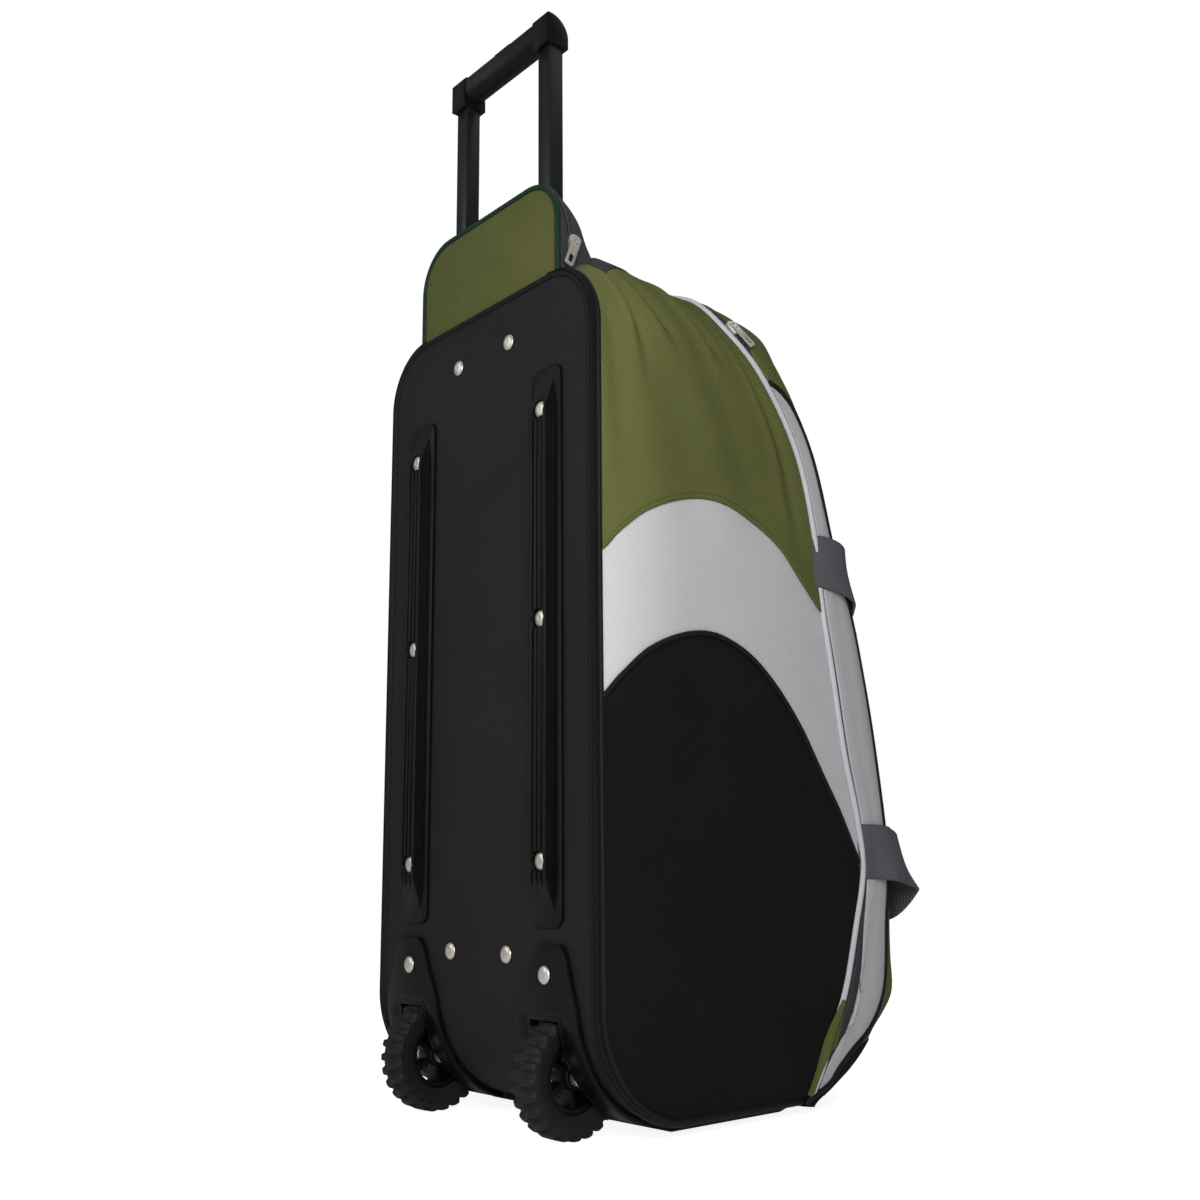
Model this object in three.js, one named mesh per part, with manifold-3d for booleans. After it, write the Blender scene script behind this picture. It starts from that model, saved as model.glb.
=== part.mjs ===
// Wheeled bag: an upright zipped holdall with a stiff back, two wheels and a telescoping handle.
// Millimetres, +Z up. The wheeled back faces -Y, the zipped lid faces +Y, the bag stands on z = 0.

import * as THREE from 'three';
import { mergeVertices } from 'three/addons/utils/BufferGeometryUtils.js';
import Module from 'manifold-3d';

const wasm = await Module();
wasm.setup();

// Cloth thickness and the clearances between sewn and fitted pieces
const CLOTH = 2;
const GAP = 0.4;
const SEAM_GAP = 0.8;

// Body: the back's outer face is y = 0 while the bag is laid out
const HALF_WIDTH = 150;
const BACK_TOP = 695;
const CORNER = 55;
const HEEL = 86;
const BASE_EDGE = 12;
const HEEL_STEPS = 8;
const CORNER_STEPS = 7;
const HEEL_Z = BASE_EDGE + HEEL;
const CORNER_Z = BACK_TOP - CORNER;
const CORNER_X = HALF_WIDTH - CORNER;
const SIDE_SWELL = 5;
const EDGE_PIPING = 3.2;
const SEAM_PIPING = 3;
const LID_PIPING = 2.2;

// Lid, a row for each height: its seam on the right side, then the middle of its front
const LID_ROWS = [
  { seamX: 141, seamY: 236, seamZ: 10, frontY: 240, frontZ: 6 },
  { seamX: 149.5, seamY: 244, seamZ: 36, frontY: 318, frontZ: 32 },
  { seamX: 150, seamY: 258, seamZ: 64, frontY: 361, frontZ: 66 },
  { seamX: 150, seamY: 276, seamZ: 95, frontY: 379, frontZ: 100 },
  { seamX: 150, seamY: 294, seamZ: 148, frontY: 381, frontZ: 152 },
  { seamX: 150, seamY: 308, seamZ: 200, frontY: 379, frontZ: 203 },
  { seamX: 150, seamY: 303, seamZ: 245, frontY: 378, frontZ: 248 },
  { seamX: 150, seamY: 290, seamZ: 300, frontY: 374, frontZ: 305 },
  { seamX: 150, seamY: 278, seamZ: 375, frontY: 360, frontZ: 374 },
  { seamX: 150, seamY: 268, seamZ: 435, frontY: 343, frontZ: 432 },
  { seamX: 150, seamY: 262, seamZ: 496, frontY: 320, frontZ: 493 },
  { seamX: 150, seamY: 241, seamZ: 575, frontY: 295, frontZ: 568 },
  { seamX: 150, seamY: 195, seamZ: 640, frontY: 263, frontZ: 629 },
  { seamX: 143, seamY: 166, seamZ: 670, frontY: 246, frontZ: 674 },
  { seamX: 123, seamY: 145, seamZ: 700, frontY: 222, frontZ: 707 },
  { seamX: 96, seamY: 131, seamZ: 712, frontY: 148, frontZ: 715.5 },
];
const LAST_ROW = LID_ROWS.length - 1;
const CORNER_ROW = 12;
const LID_SQUARENESS = 3;
const ZIP_SPAN = 16;

// How far the top rises above a straight line from the back to the lid's seam, held up by the pocket
const TOP_LIFT = [
  { share: 0, lift: 0 },
  { share: 0.15, lift: 11 },
  { share: 0.3, lift: 21 },
  { share: 0.42, lift: 24 },
  { share: 0.6, lift: 18 },
  { share: 0.8, lift: 8 },
  { share: 1, lift: 0 },
];
const TOP_STEPS = 8;

// Stations that the sewn pieces share: in rows up the side, and in turns over the top
const SEAM_STATIONS = [
  0, 0.5, 1, 2, 3, 4, 4.5, 5, 5.5, 6, 7, 8, 9, 10, 10.5, 11, 11.5, 12, 12.5, 13, 13.5, 14, 14.5, 15,
];
const TOP_STATIONS = [0.22, 0.6, 1, 1.4, 1.78];
const STRIP_TIP = 11.66;
const ZIP_FOOT_ROW = 0;
const STRIP_FOOT_ROW = 0.3;

// Silver strip down each side of the lid: its reach round the lid's roll and its arched top end, in rows
const STRIP_REACH = 0.29;
const STRIP_ARCH_ROW = 10.8;
const STRIP_END_ROW = 11.8;

// Colours of the side, a row for each share of the way from the back to the seam
const COLOUR_ARCS = [
  { share: 0, silverTop: 440, blackTop: 322 },
  { share: 0.05, silverTop: 449, blackTop: 335 },
  { share: 0.1, silverTop: 463, blackTop: 349 },
  { share: 0.21, silverTop: 485, blackTop: 373 },
  { share: 0.37, silverTop: 502, blackTop: 389 },
  { share: 0.5, silverTop: 506, blackTop: 388 },
  { share: 0.65, silverTop: 498, blackTop: 367 },
  { share: 0.8, silverTop: 478, blackTop: 319 },
  { share: 0.9, silverTop: 452, blackTop: 259 },
  { share: 1, silverTop: 424, blackTop: 199 },
];

// Soft folds in the green cloth, fanning down from the pocket's corner: place at the top and at the foot
const GREEN_FOLDS = [
  { topShare: 0.1, footShare: 0.2, width: 0.06, depth: 3 },
  { topShare: 0.24, footShare: 0.48, width: 0.08, depth: 4 },
  { topShare: 0.42, footShare: 0.8, width: 0.09, depth: 3 },
];
const FOLD_FOOT_ROW = 9.5;

// Steps of the side panels: closest round the heel and round the top corner
const SIDE_COLUMNS = 8;
const BLACK_STEPS = [0, 0.015, 0.045, 0.095, 0.16, 0.27, 0.48, 0.74, 1];
const GREEN_STEPS = [0, 0.2, 0.38, 0.52, 0.63, 0.72, 0.8, 0.87, 0.94, 1];

// Base: how the cloth eases down from its edges to the flat it stands on, as shares of the half size
const BASE_EASE = [
  { share: -1, lift: 1 },
  { share: -0.9, lift: 0.35 },
  { share: -0.8, lift: 0 },
  { share: 0, lift: 0 },
  { share: 0.8, lift: 0 },
  { share: 0.9, lift: 0.35 },
  { share: 1, lift: 1 },
];
const BASE_DROP = 11;
const BASE_FRONT = LID_ROWS[0].seamY;

// Wheels, their housings and axles
const WHEEL_X = 94;
const WHEEL_Y = 19;
const WHEEL_R = 46.5;
const TYRE_HALF = 14;
const TYRE_INNER = 27;
const TYRE_FOOT_HALF = 12;
const TREAD_HALF = 9;
const SHOULDER = 4;
const LUGS = 10;
const LUG_DEPTH = 5;
const LUG_GAP = 7;
const LUG_INSET = 2.5;
const HUB_HALF = 10;
const SPOKES = 6;
const SPOKE_SHARE = 0.14;
const SPOKE_ROOT = 0.12;
const HUB_RIM = 4;
const HUB_BOSS = 10;
const HUB_FACETS = 2;
const AXLE_R = 4;
const CAP_R = 6.5;
const WELL_R = 49;
const WELL_HALF = 17.5;
const WELL_WALL = 3.2;
const PLATE_PROUD = 5;

// Wheel housing's plate, a row for each height and then for each step round the heel
const PLATE_ROWS = [
  { height: 145, turn: 0, inner: 85, outer: 114 },
  { height: 138, turn: 0, inner: 78, outer: 120 },
  { height: 118, turn: 0, inner: 69, outer: 126 },
  { height: HEEL_Z, turn: 0, inner: 58, outer: 133 },
  { height: HEEL_Z, turn: 1, inner: 55, outer: 135 },
  { height: HEEL_Z, turn: 2, inner: 53, outer: 136 },
  { height: HEEL_Z, turn: 3, inner: 53, outer: 136 },
  { height: HEEL_Z, turn: 4, inner: 53, outer: 136 },
  { height: HEEL_Z, turn: 5, inner: 54, outer: 135 },
  { height: HEEL_Z, turn: 6, inner: 56, outer: 133 },
  { height: HEEL_Z, turn: 7, inner: 60, outer: 129 },
];

// Skid rails
const RAIL_X = 95;
const RAIL_BOTTOM = 157;
const RAIL_TOP = 612;
const FLANGE_HALF = 19.5;
const FLANGE_THICK = 3;
const FLANGE_CORNER = 9;
const RIDGE_HALF = 11;
const RIDGE_PROUD = 12;
const RIDGE_END = 12;
const RIDGE_SLOPE = 26;
const GROOVE_HALF = 1.5;
const GROOVE_DEPTH = 2;
const GROOVE_X = 6;
const RECESS_R = 8.6;
const RECESS_FLOOR = 7;

// Rivets: height, distance from the middle and the face that each pair sits on
const RIVET_R = 7;
const RIVET_HEAD = 2.6;
const CROWN_RADIUS = 0.72;
const CROWN_HEIGHT = 0.85;
const RIVET_PAIRS = [
  { name: 'back_rivet', height: 653, offset: 39, seat: 0 },
  { name: 'rail_rivet_top', height: 574, offset: RAIL_X, seat: RECESS_FLOOR },
  { name: 'rail_rivet_middle', height: 398, offset: RAIL_X, seat: RECESS_FLOOR },
  { name: 'rail_rivet_low', height: 207, offset: RAIL_X, seat: RECESS_FLOOR },
  { name: 'base_rivet', height: 135, offset: 40, seat: 0 },
  { name: 'housing_rivet', height: 122, offset: 96.5, seat: PLATE_PROUD },
];

// Pull handle
const TUBE_X = 66;
const TUBE_Y = 25;
const TUBE_WIDE = 18;
const TUBE_DEEP = 16;
const TUBE_WALL = 1.5;
const TUBE_CORNER = 2;
const TUBE_FOOT = 630;
const GRIP_BOTTOM = 934;
const GRIP_TOP = 964;
const GRIP_BACK = 12.5;
const GRIP_FRONT = 37;
const GRIP_ROUND = 20;
const GRIP_EDGE = 3;
const BAR_STEP = 1;
const BRACKET_WIDE = 22;
const BAR_BOTTOM = 939;
const BAR_DROP_R = 11;
const SOCKET_DEPTH = 14;
const BUTTON_Y = 23;
const BUTTON_HALF = 15;
const BUTTON_DEEP = 12;
const BUTTON_TALL = 6;
const BUTTON_CORNER = 4;
const BUTTON_PROUD = 2.5;
const BUTTON_WELL = 7;
const GUIDE_WALL = 1.6;
const GUIDE_PLAY = 0.5;
const GUIDE_TOP = 728;
const GUIDE_FOOT = 122;
const CLEAT_HALF = 13;

// Pocket on top of the back
const POCKET_HALF = 105;
const POCKET_FOOT = 698;
const POCKET_TOP = 789;
const POCKET_CORNER = 43;
const POCKET_BACK_Y = 11.4;
const FLAP_Y = 3;
const FLAP_SWELL = 5;
const POCKET_PIPING = 2.6;
const POCKET_PIPING_STEPS = 28;
const POCKET_STRAIGHT = 0.6;
const POCKET_LEVEL = 0.25;
const FLARE_FROM = 24;
const FLARE_TO = 4;
const GUSSET_REACH = 38;

// Steps of the pocket's walls, closest at their ends, and of its gusset from the right foot to the top
const POCKET_STEPS = [0, 0.075, 0.15, 0.22, 0.29, 0.5, 0.71, 0.78, 0.85, 0.925, 1];
const POCKET_RISES = 4;
const GUSSET_STEPS = [0.007, 0.027, 0.05, 0.069, 0.083, 0.1, 0.133, 0.2, 0.245, 0.2875, 0.33, 0.375];

// Depth of the pocket's gusset behind the flap, a row for each height
const GUSSET_ROWS = [
  { height: 699.5, depth: 9 },
  { height: 704.5, depth: 16 },
  { height: 710, depth: 26 },
  { height: 714.5, depth: 34 },
  { height: 718, depth: 39.5 },
  { height: 722, depth: 37.5 },
  { height: 730, depth: 33 },
  { height: 744, depth: 27 },
  { height: 758, depth: 18 },
  { height: 768, depth: 12.6 },
  { height: 789, depth: POCKET_BACK_Y },
];

// Carry handle on the right, a row for each point of its middle: lean turns its width from upright
const STRAP_WIDE = 50;
const STRAP_STEPS = 26;
const STRAP_ROWS = [
  { x: 151.3, y: 282, z: 476, lean: 0 },
  { x: 150, y: 304, z: 475, lean: 0 },
  { x: 140, y: 321, z: 473, lean: 4 },
  { x: 118, y: 342, z: 466, lean: 16 },
  { x: 89, y: 364, z: 445, lean: 44 },
  { x: 67, y: 373, z: 404, lean: 76 },
  { x: 60, y: 389, z: 344, lean: 88 },
  { x: 62, y: 400, z: 284, lean: 88 },
  { x: 72, y: 412, z: 228, lean: 74 },
  { x: 92, y: 422, z: 184, lean: 50 },
  { x: 118, y: 418, z: 172, lean: 24 },
  { x: 140, y: 392, z: 186, lean: 8 },
  { x: 151.3, y: 358, z: 204, lean: 0 },
  { x: 152.2, y: 326, z: 214, lean: 0 },
];

// Zip sliders: place on the main zip in rows, and height on the pocket's right end
const MAIN_SLIDER_ROW = 13.05;
const POCKET_SLIDER_Z = 726;
const PULLER_TILT = 0.35;
const POCKET_SLIDER_Y = 18;
const SLIDER_LONG = 14;
const SLIDER_WIDE = 10;
const SLIDER_HIGH = 4;
const SLIDER_CORNER = 3;
const POST_HALF = 1;
const PULLER_LONG = 30;
const PULLER_WIDE = 9;
const PULLER_THICK = 1.6;
const PULLER_CORNER = 2.5;
const EYE_LONG = 5;
const EYE_HALF = 2;
const SLOT_LONG = 8;
const SLOT_HALF = 2.2;
const SLOT_MARGIN = 3;

// Finishes
const FINISH = {
  blackCloth: { color: 0x1b1b1c, roughness: 0.85, metalness: 0 },
  greenCloth: { color: 0x6a7540, roughness: 0.85, metalness: 0 },
  silverCloth: { color: 0xb9bcc0, roughness: 0.6, metalness: 0 },
  whitePiping: { color: 0xd2d4da, roughness: 0.5, metalness: 0 },
  greenPiping: { color: 0x234b2d, roughness: 0.5, metalness: 0 },
  greyWeb: { color: 0x4b484e, roughness: 0.8, metalness: 0 },
  blackPlastic: { color: 0x202122, roughness: 0.5, metalness: 0 },
  rubber: { color: 0x1c1c1d, roughness: 0.8, metalness: 0 },
  blackTube: { color: 0x1e1e1f, roughness: 0.4, metalness: 0.7 },
  nickel: { color: 0xcdc3b4, roughness: 0.3, metalness: 1 },
};

const bag = new THREE.Group();

function addPiece(name, geometry, finish) {
  const piece = new THREE.Mesh(geometry, new THREE.MeshStandardMaterial(finish));
  piece.name = name;
  bag.add(piece);
  return piece;
}

// Solids to cut and join, and back again
function toSolid(geometry) {
  const bare = geometry.clone();
  bare.deleteAttribute('normal');
  bare.deleteAttribute('uv');
  const merged = mergeVertices(bare, 1e-4);
  const vertProperties = Float32Array.from(merged.attributes.position.array);
  const triVerts = Uint32Array.from(merged.index.array);
  return new wasm.Manifold(new wasm.Mesh({ numProp: 3, vertProperties, triVerts }));
}

function toGeometry(solid) {
  const mesh = solid.getMesh();
  const geometry = new THREE.BufferGeometry();
  geometry.setAttribute('position', new THREE.BufferAttribute(mesh.vertProperties, 3));
  geometry.setIndex(new THREE.BufferAttribute(mesh.triVerts, 1));
  geometry.computeVertexNormals();
  return geometry;
}

// The same geometry on the bag's other side, with its faces turned to point out again
function mirrored(geometry) {
  const copy = geometry.index ? geometry.toNonIndexed() : geometry.clone();
  copy.applyMatrix4(new THREE.Matrix4().makeScale(-1, 1, 1));
  const place = copy.attributes.position;
  for (let corner = 0; corner < place.count; corner += 3) {
    const second = new THREE.Vector3().fromBufferAttribute(place, corner + 1);
    const third = new THREE.Vector3().fromBufferAttribute(place, corner + 2);
    place.setXYZ(corner + 1, third.x, third.y, third.z);
    place.setXYZ(corner + 2, second.x, second.y, second.z);
  }
  copy.deleteAttribute('normal');
  copy.deleteAttribute('uv');
  const whole = mergeVertices(copy, 1e-4);
  whole.computeVertexNormals();
  return whole;
}

function addPair(name, geometry, finish) {
  addPiece(`${name}_right`, geometry, finish);
  addPiece(`${name}_left`, mirrored(geometry), finish);
}

// A table's column at a place between two rows
function lookUp(rows, key, value, at) {
  const last = rows.length - 1;
  const next = Math.min(last, Math.max(1, rows.findIndex((row) => row[key] >= at)));
  const upper = at >= rows[last][key] ? last : next;
  const low = rows[upper - 1];
  const high = rows[upper];
  const part = THREE.MathUtils.clamp((at - low[key]) / (high[key] - low[key]), 0, 1);
  return THREE.MathUtils.lerp(low[value], high[value], part);
}

// A grid of steps from 0 to 1
function evenSteps(count) {
  return Array.from({ length: count + 1 }, (_, index) => index / count);
}

// A wall of cloth whose outer face lies on surface(across, along), thickened evenly inwards
function clothWall(surface, acrossSteps, alongSteps, thickness = CLOTH) {
  const reach = 1e-3;
  const wide = acrossSteps.length;
  const long = alongSteps.length;
  const outer = [];
  const inner = [];
  for (const along of alongSteps) {
    for (const across of acrossSteps) {
      const point = surface(across, along);
      const ahead = surface(Math.min(1, across + reach), along);
      const behind = surface(Math.max(0, across - reach), along);
      const above = surface(across, Math.min(1, along + reach));
      const below = surface(across, Math.max(0, along - reach));
      const normal = ahead.sub(behind).cross(above.sub(below)).normalize();
      outer.push(point);
      inner.push(point.clone().addScaledVector(normal, -thickness));
    }
  }
  const points = [...outer, ...inner];
  const faces = [];
  const back = outer.length;
  const quad = (a, b, c, d) => faces.push(a, b, c, a, c, d);
  for (let row = 0; row < long - 1; row += 1) {
    for (let column = 0; column < wide - 1; column += 1) {
      const a = row * wide + column;
      quad(a, a + 1, a + wide + 1, a + wide);
      quad(back + a, back + a + wide, back + a + wide + 1, back + a + 1);
    }
  }
  for (let column = 0; column < wide - 1; column += 1) {
    const top = (long - 1) * wide + column;
    quad(column, back + column, back + column + 1, column + 1);
    quad(top, top + 1, back + top + 1, back + top);
  }
  for (let row = 0; row < long - 1; row += 1) {
    const left = row * wide;
    const right = left + wide - 1;
    quad(left, left + wide, back + left + wide, back + left);
    quad(right, back + right, back + right + wide, right + wide);
  }
  const geometry = new THREE.BufferGeometry().setFromPoints(points);
  geometry.setIndex(faces);
  geometry.computeVertexNormals();
  return geometry;
}

// A line of straight stretches between stations, so that neighbours which share stations stay parallel
class StationLine extends THREE.Curve {
  constructor(stations) {
    super();
    this.stations = stations;
  }

  getPoint(part, target = new THREE.Vector3()) {
    const place = THREE.MathUtils.clamp(part, 0, 1) * (this.stations.length - 1);
    const index = Math.min(this.stations.length - 2, Math.floor(place));
    return target.lerpVectors(this.stations[index], this.stations[index + 1], place - index);
  }

  getPointAt(part, target) {
    return this.getPoint(part, target);
  }

  getTangentAt(part, target) {
    return this.getTangent(part, target);
  }
}

// A round cord sewn along a line of stations
function pipingAlong(stations, radius, sides = 5) {
  const ring = evenSteps(sides).slice(0, sides).map((turn) => {
    const angle = turn * 2 * Math.PI;
    return new THREE.Vector2(radius * Math.cos(angle), radius * Math.sin(angle));
  });
  const extrudePath = new StationLine(stations);
  const steps = stations.length - 1;
  return new THREE.ExtrudeGeometry(new THREE.Shape(ring), { steps, extrudePath, bevelEnabled: false });
}

// A flat outline in the plane of two axes, extruded along the third
function slabX(shape, from, to, curveSegments = 6) {
  const slab = new THREE.ExtrudeGeometry(shape, { depth: to - from, bevelEnabled: false, curveSegments });
  slab.applyMatrix4(new THREE.Matrix4().set(0, 0, 1, from, 1, 0, 0, 0, 0, 1, 0, 0, 0, 0, 0, 1));
  return slab;
}

function slabY(shape, from, to, curveSegments = 6) {
  const slab = new THREE.ExtrudeGeometry(shape, { depth: to - from, bevelEnabled: false, curveSegments });
  slab.applyMatrix4(new THREE.Matrix4().set(1, 0, 0, 0, 0, 0, -1, to, 0, 1, 0, 0, 0, 0, 0, 1));
  return slab;
}

function block(xFrom, xTo, yFrom, yTo, zFrom, zTo) {
  const box = new THREE.BoxGeometry(xTo - xFrom, yTo - yFrom, zTo - zFrom);
  box.translate((xFrom + xTo) / 2, (yFrom + yTo) / 2, (zFrom + zTo) / 2);
  return box;
}

function rodX(radius, xFrom, xTo, y, z, sides) {
  const rod = new THREE.CylinderGeometry(radius, radius, xTo - xFrom, sides);
  rod.rotateZ(Math.PI / 2);
  rod.translate((xFrom + xTo) / 2, y, z);
  return rod;
}

function rodY(radius, yFrom, yTo, x, z, sides) {
  const rod = new THREE.CylinderGeometry(radius, radius, yTo - yFrom, sides);
  rod.translate(x, (yFrom + yTo) / 2, z);
  return rod;
}

// A rectangle with rounded corners
function roundedRectangle(xFrom, xTo, yFrom, yTo, radius) {
  const shape = new THREE.Shape();
  shape.absarc(xTo - radius, yTo - radius, radius, 0, Math.PI / 2);
  shape.absarc(xFrom + radius, yTo - radius, radius, Math.PI / 2, Math.PI);
  shape.absarc(xFrom + radius, yFrom + radius, radius, Math.PI, 1.5 * Math.PI);
  shape.absarc(xTo - radius, yFrom + radius, radius, 1.5 * Math.PI, 2 * Math.PI);
  return shape;
}

// The body's guiding lines: the lid's seam, the middle of its front, and the back's edge
const seamLine = new THREE.CatmullRomCurve3(
  LID_ROWS.map((row) => new THREE.Vector3(row.seamX, row.seamY, row.seamZ)), false, 'centripetal');
const frontLine = new THREE.CatmullRomCurve3(
  LID_ROWS.map((row) => new THREE.Vector3(0, row.frontY, row.frontZ)), false, 'centripetal');

function heelY(z, inset = 0) {
  const radius = HEEL - inset;
  const below = THREE.MathUtils.clamp(HEEL_Z - z, 0, radius);
  return HEEL - Math.sqrt(radius * radius - below * below);
}

// The way across the lid's zip, square to its seam
function acrossSeam(rise) {
  const along = seamLine.getTangent(rise);
  return new THREE.Vector3(0, 1, 0).addScaledVector(along, -along.y).normalize();
}

function backEdge(rise) {
  const row = rise * LAST_ROW;
  if (row <= CORNER_ROW) {
    const height = Math.max(BASE_EDGE, seamLine.getPoint(rise).z);
    return new THREE.Vector3(HALF_WIDTH, heelY(height), height);
  }
  const turn = (row - CORNER_ROW) / (LAST_ROW - CORNER_ROW) * Math.PI / 2;
  return new THREE.Vector3(CORNER_X + CORNER * Math.cos(turn), 0, CORNER_Z + CORNER * Math.sin(turn));
}

// How deep the green cloth's folds are at a place on the side
function foldDepth(share, row) {
  const fade = THREE.MathUtils.smoothstep(row, FOLD_FOOT_ROW, LAST_ROW);
  const strength = fade * Math.sin(Math.PI * THREE.MathUtils.clamp(share, 0, 1));
  let depth = 0;
  for (const fold of GREEN_FOLDS) {
    const middle = THREE.MathUtils.lerp(fold.footShare, fold.topShare, fade);
    depth += fold.depth * strength * Math.exp(-(((share - middle) / fold.width) ** 2));
  }
  return depth;
}

const topLift = (share) => lookUp(TOP_LIFT, 'share', 'lift', share);

// The side wall: share runs from the back's edge to the lid's seam, rise from the base to the top
function sideWall(share, rise) {
  const row = rise * LAST_ROW;
  const turned = THREE.MathUtils.clamp((row - CORNER_ROW) / (LAST_ROW - CORNER_ROW), 0, 1);
  const turn = turned * Math.PI / 2;
  const point = backEdge(rise).lerp(seamLine.getPoint(rise), share);
  point.z += topLift(share) * turned ** 2;
  const swell = SIDE_SWELL * (1 - turned) * Math.min(1, row / 2);
  const eased = swell * Math.sin(Math.PI * share) - foldDepth(share, row);
  return point.add(new THREE.Vector3(Math.cos(turn) * eased, 0, Math.sin(turn) * eased));
}

function riseAtHeight(height) {
  let low = 0;
  let high = CORNER_ROW / LAST_ROW;
  for (let halving = 0; halving < 30; halving += 1) {
    const middle = (low + high) / 2;
    if (seamLine.getPoint(middle).z < height) low = middle;
    else high = middle;
  }
  return (low + high) / 2;
}

// One colour of the side, between two lines that run from the back to the seam
const sideInset = EDGE_PIPING + 2 * SEAM_GAP;
function sidePanel(lowerRise, upperRise, alongSteps) {
  const surface = (across, along) => {
    const nearRise = THREE.MathUtils.lerp(lowerRise(across), upperRise(across), along);
    const back = backEdge(nearRise);
    const seam = seamLine.getPoint(nearRise);
    const span = back.distanceTo(seam);
    const from = (heelY(back.z, sideInset) - back.y) / span;
    const to = 1 - (SEAM_PIPING + 2 * SEAM_GAP) / (span * acrossSeam(nearRise).y);
    const share = THREE.MathUtils.lerp(from, to, across);
    const rise = THREE.MathUtils.lerp(lowerRise(share), upperRise(share), along);
    return sideWall(share, rise);
  };
  return clothWall(surface, evenSteps(SIDE_COLUMNS), alongSteps);
}

const silverTop = (share) => lookUp(COLOUR_ARCS, 'share', 'silverTop', share);
const blackTop = (share) => lookUp(COLOUR_ARCS, 'share', 'blackTop', share);
const baseLine = () => riseAtHeight(BASE_EDGE + sideInset);
const blackEdge = (share) => riseAtHeight(blackTop(share) - SEAM_GAP / 2);
const silverFoot = (share) => riseAtHeight(blackTop(share) + SEAM_GAP / 2);
const silverEdge = (share) => riseAtHeight(silverTop(share) - SEAM_GAP / 2);
const greenFoot = (share) => riseAtHeight(silverTop(share) + SEAM_GAP / 2);

addPair('side_black', sidePanel(baseLine, blackEdge, BLACK_STEPS), FINISH.blackCloth);
addPair('side_silver', sidePanel(silverFoot, silverEdge, [0, 0.5, 1]), FINISH.silverCloth);
addPair('side_green', sidePanel(greenFoot, () => 1, GREEN_STEPS), FINISH.greenCloth);

// The lid: turn runs round it from the right seam (0) over the front's middle (1) to the left seam (2)
function lidRow(rise, turn, setBack) {
  const across = acrossSeam(rise);
  const edge = seamLine.getPoint(rise).addScaledVector(across, ZIP_SPAN - setBack);
  const front = frontLine.getPoint(rise);
  front.y -= setBack;
  const angle = THREE.MathUtils.clamp(turn <= 1 ? turn : 2 - turn, 0, 1) * Math.PI / 2;
  const power = 2 / LID_SQUARENESS;
  const forward = Math.sin(angle) ** power;
  const x = edge.x * Math.max(0, Math.cos(angle)) ** power;
  const y = THREE.MathUtils.lerp(edge.y, front.y, forward);
  return new THREE.Vector3(turn <= 1 ? x : -x, y, THREE.MathUtils.lerp(edge.z, front.z, forward));
}
const lidSurface = (turn, rise) => lidRow(rise, turn, 0);

// The seam's stations, set back from the lid, from the right foot over the top to the left foot
function seamStations(setBack, fromRow) {
  const rows = SEAM_STATIONS.filter((row) => row >= fromRow);
  const right = rows.map((row) => lidRow(row / LAST_ROW, 0, setBack));
  const top = TOP_STATIONS.map((turn) => lidRow(1, turn, setBack));
  const left = right.map((point) => new THREE.Vector3(-point.x, point.y, point.z)).reverse();
  return [...right, ...top, ...left];
}
addPiece('seam_piping', pipingAlong(seamStations(ZIP_SPAN, 0), SEAM_PIPING), FINISH.whitePiping);

const zipBack = new StationLine(seamStations(ZIP_SPAN - SEAM_PIPING - SEAM_GAP, ZIP_FOOT_ROW));
const zipFront = new StationLine(seamStations(SEAM_GAP, ZIP_FOOT_ROW));
const zipSurface = (across, along) => zipBack.getPoint(along).lerp(zipFront.getPoint(along), across);
const zipSteps = evenSteps(zipBack.stations.length - 1);
addPiece('main_zip', clothWall(zipSurface, [0, 1], zipSteps), FINISH.greyWeb);

function stripReach(rise) {
  const past = (rise * LAST_ROW - STRIP_ARCH_ROW) / (STRIP_END_ROW - STRIP_ARCH_ROW);
  return STRIP_REACH * Math.sqrt(Math.max(0, 1 - Math.max(0, past) ** 2));
}

// The lid's turn at a distance from the strip's edge, measured square to that edge
function besideStrip(rise, distance) {
  const probe = 0.01;
  const reach = stripReach(rise);
  const turn = Math.max(reach, probe);
  const across = lidSurface(turn + probe, rise).sub(lidSurface(turn, rise));
  const along = lidSurface(stripReach(rise + probe), rise + probe).sub(lidSurface(reach, rise));
  const square = Math.max(0.3, Math.sin(across.angleTo(along)));
  return Math.max(0, reach + probe * distance / (across.length() * square));
}

const pipingClear = LID_PIPING + SEAM_GAP;
const stripRows = [...SEAM_STATIONS.filter((row) => row < STRIP_TIP), STRIP_TIP];
stripRows[0] = STRIP_FOOT_ROW;
const rowAt = (rows) => (along) => {
  const place = along * (rows.length - 1);
  const index = Math.min(rows.length - 2, Math.floor(place + 1e-9));
  return THREE.MathUtils.lerp(rows[index], rows[index + 1], place - index) / LAST_ROW;
};
const stripRise = rowAt(stripRows);
const stripSurface = (across, along) => {
  const rise = stripRise(along);
  return lidSurface(across * besideStrip(rise, -pipingClear), rise);
};
const stripSteps = evenSteps(stripRows.length - 1);
addPair('lid_strip', clothWall(stripSurface, evenSteps(2), stripSteps), FINISH.silverCloth);

const centreRows = [...SEAM_STATIONS, STRIP_TIP, STRIP_END_ROW].sort((one, two) => one - two);
const centreRise = rowAt(centreRows);
const centreSurface = (across, along) => {
  const rise = centreRise(along);
  const edge = rise * LAST_ROW <= STRIP_END_ROW ? besideStrip(rise, pipingClear) : 0;
  return lidSurface(THREE.MathUtils.lerp(edge, 2 - edge, across), rise);
};
const centreAcross = [0, ...TOP_STATIONS, 2].map((turn) => turn / 2);
const centreSteps = evenSteps(centreRows.length - 1);
addPiece('lid_centre', clothWall(centreSurface, centreAcross, centreSteps), FINISH.greenCloth);

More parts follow.
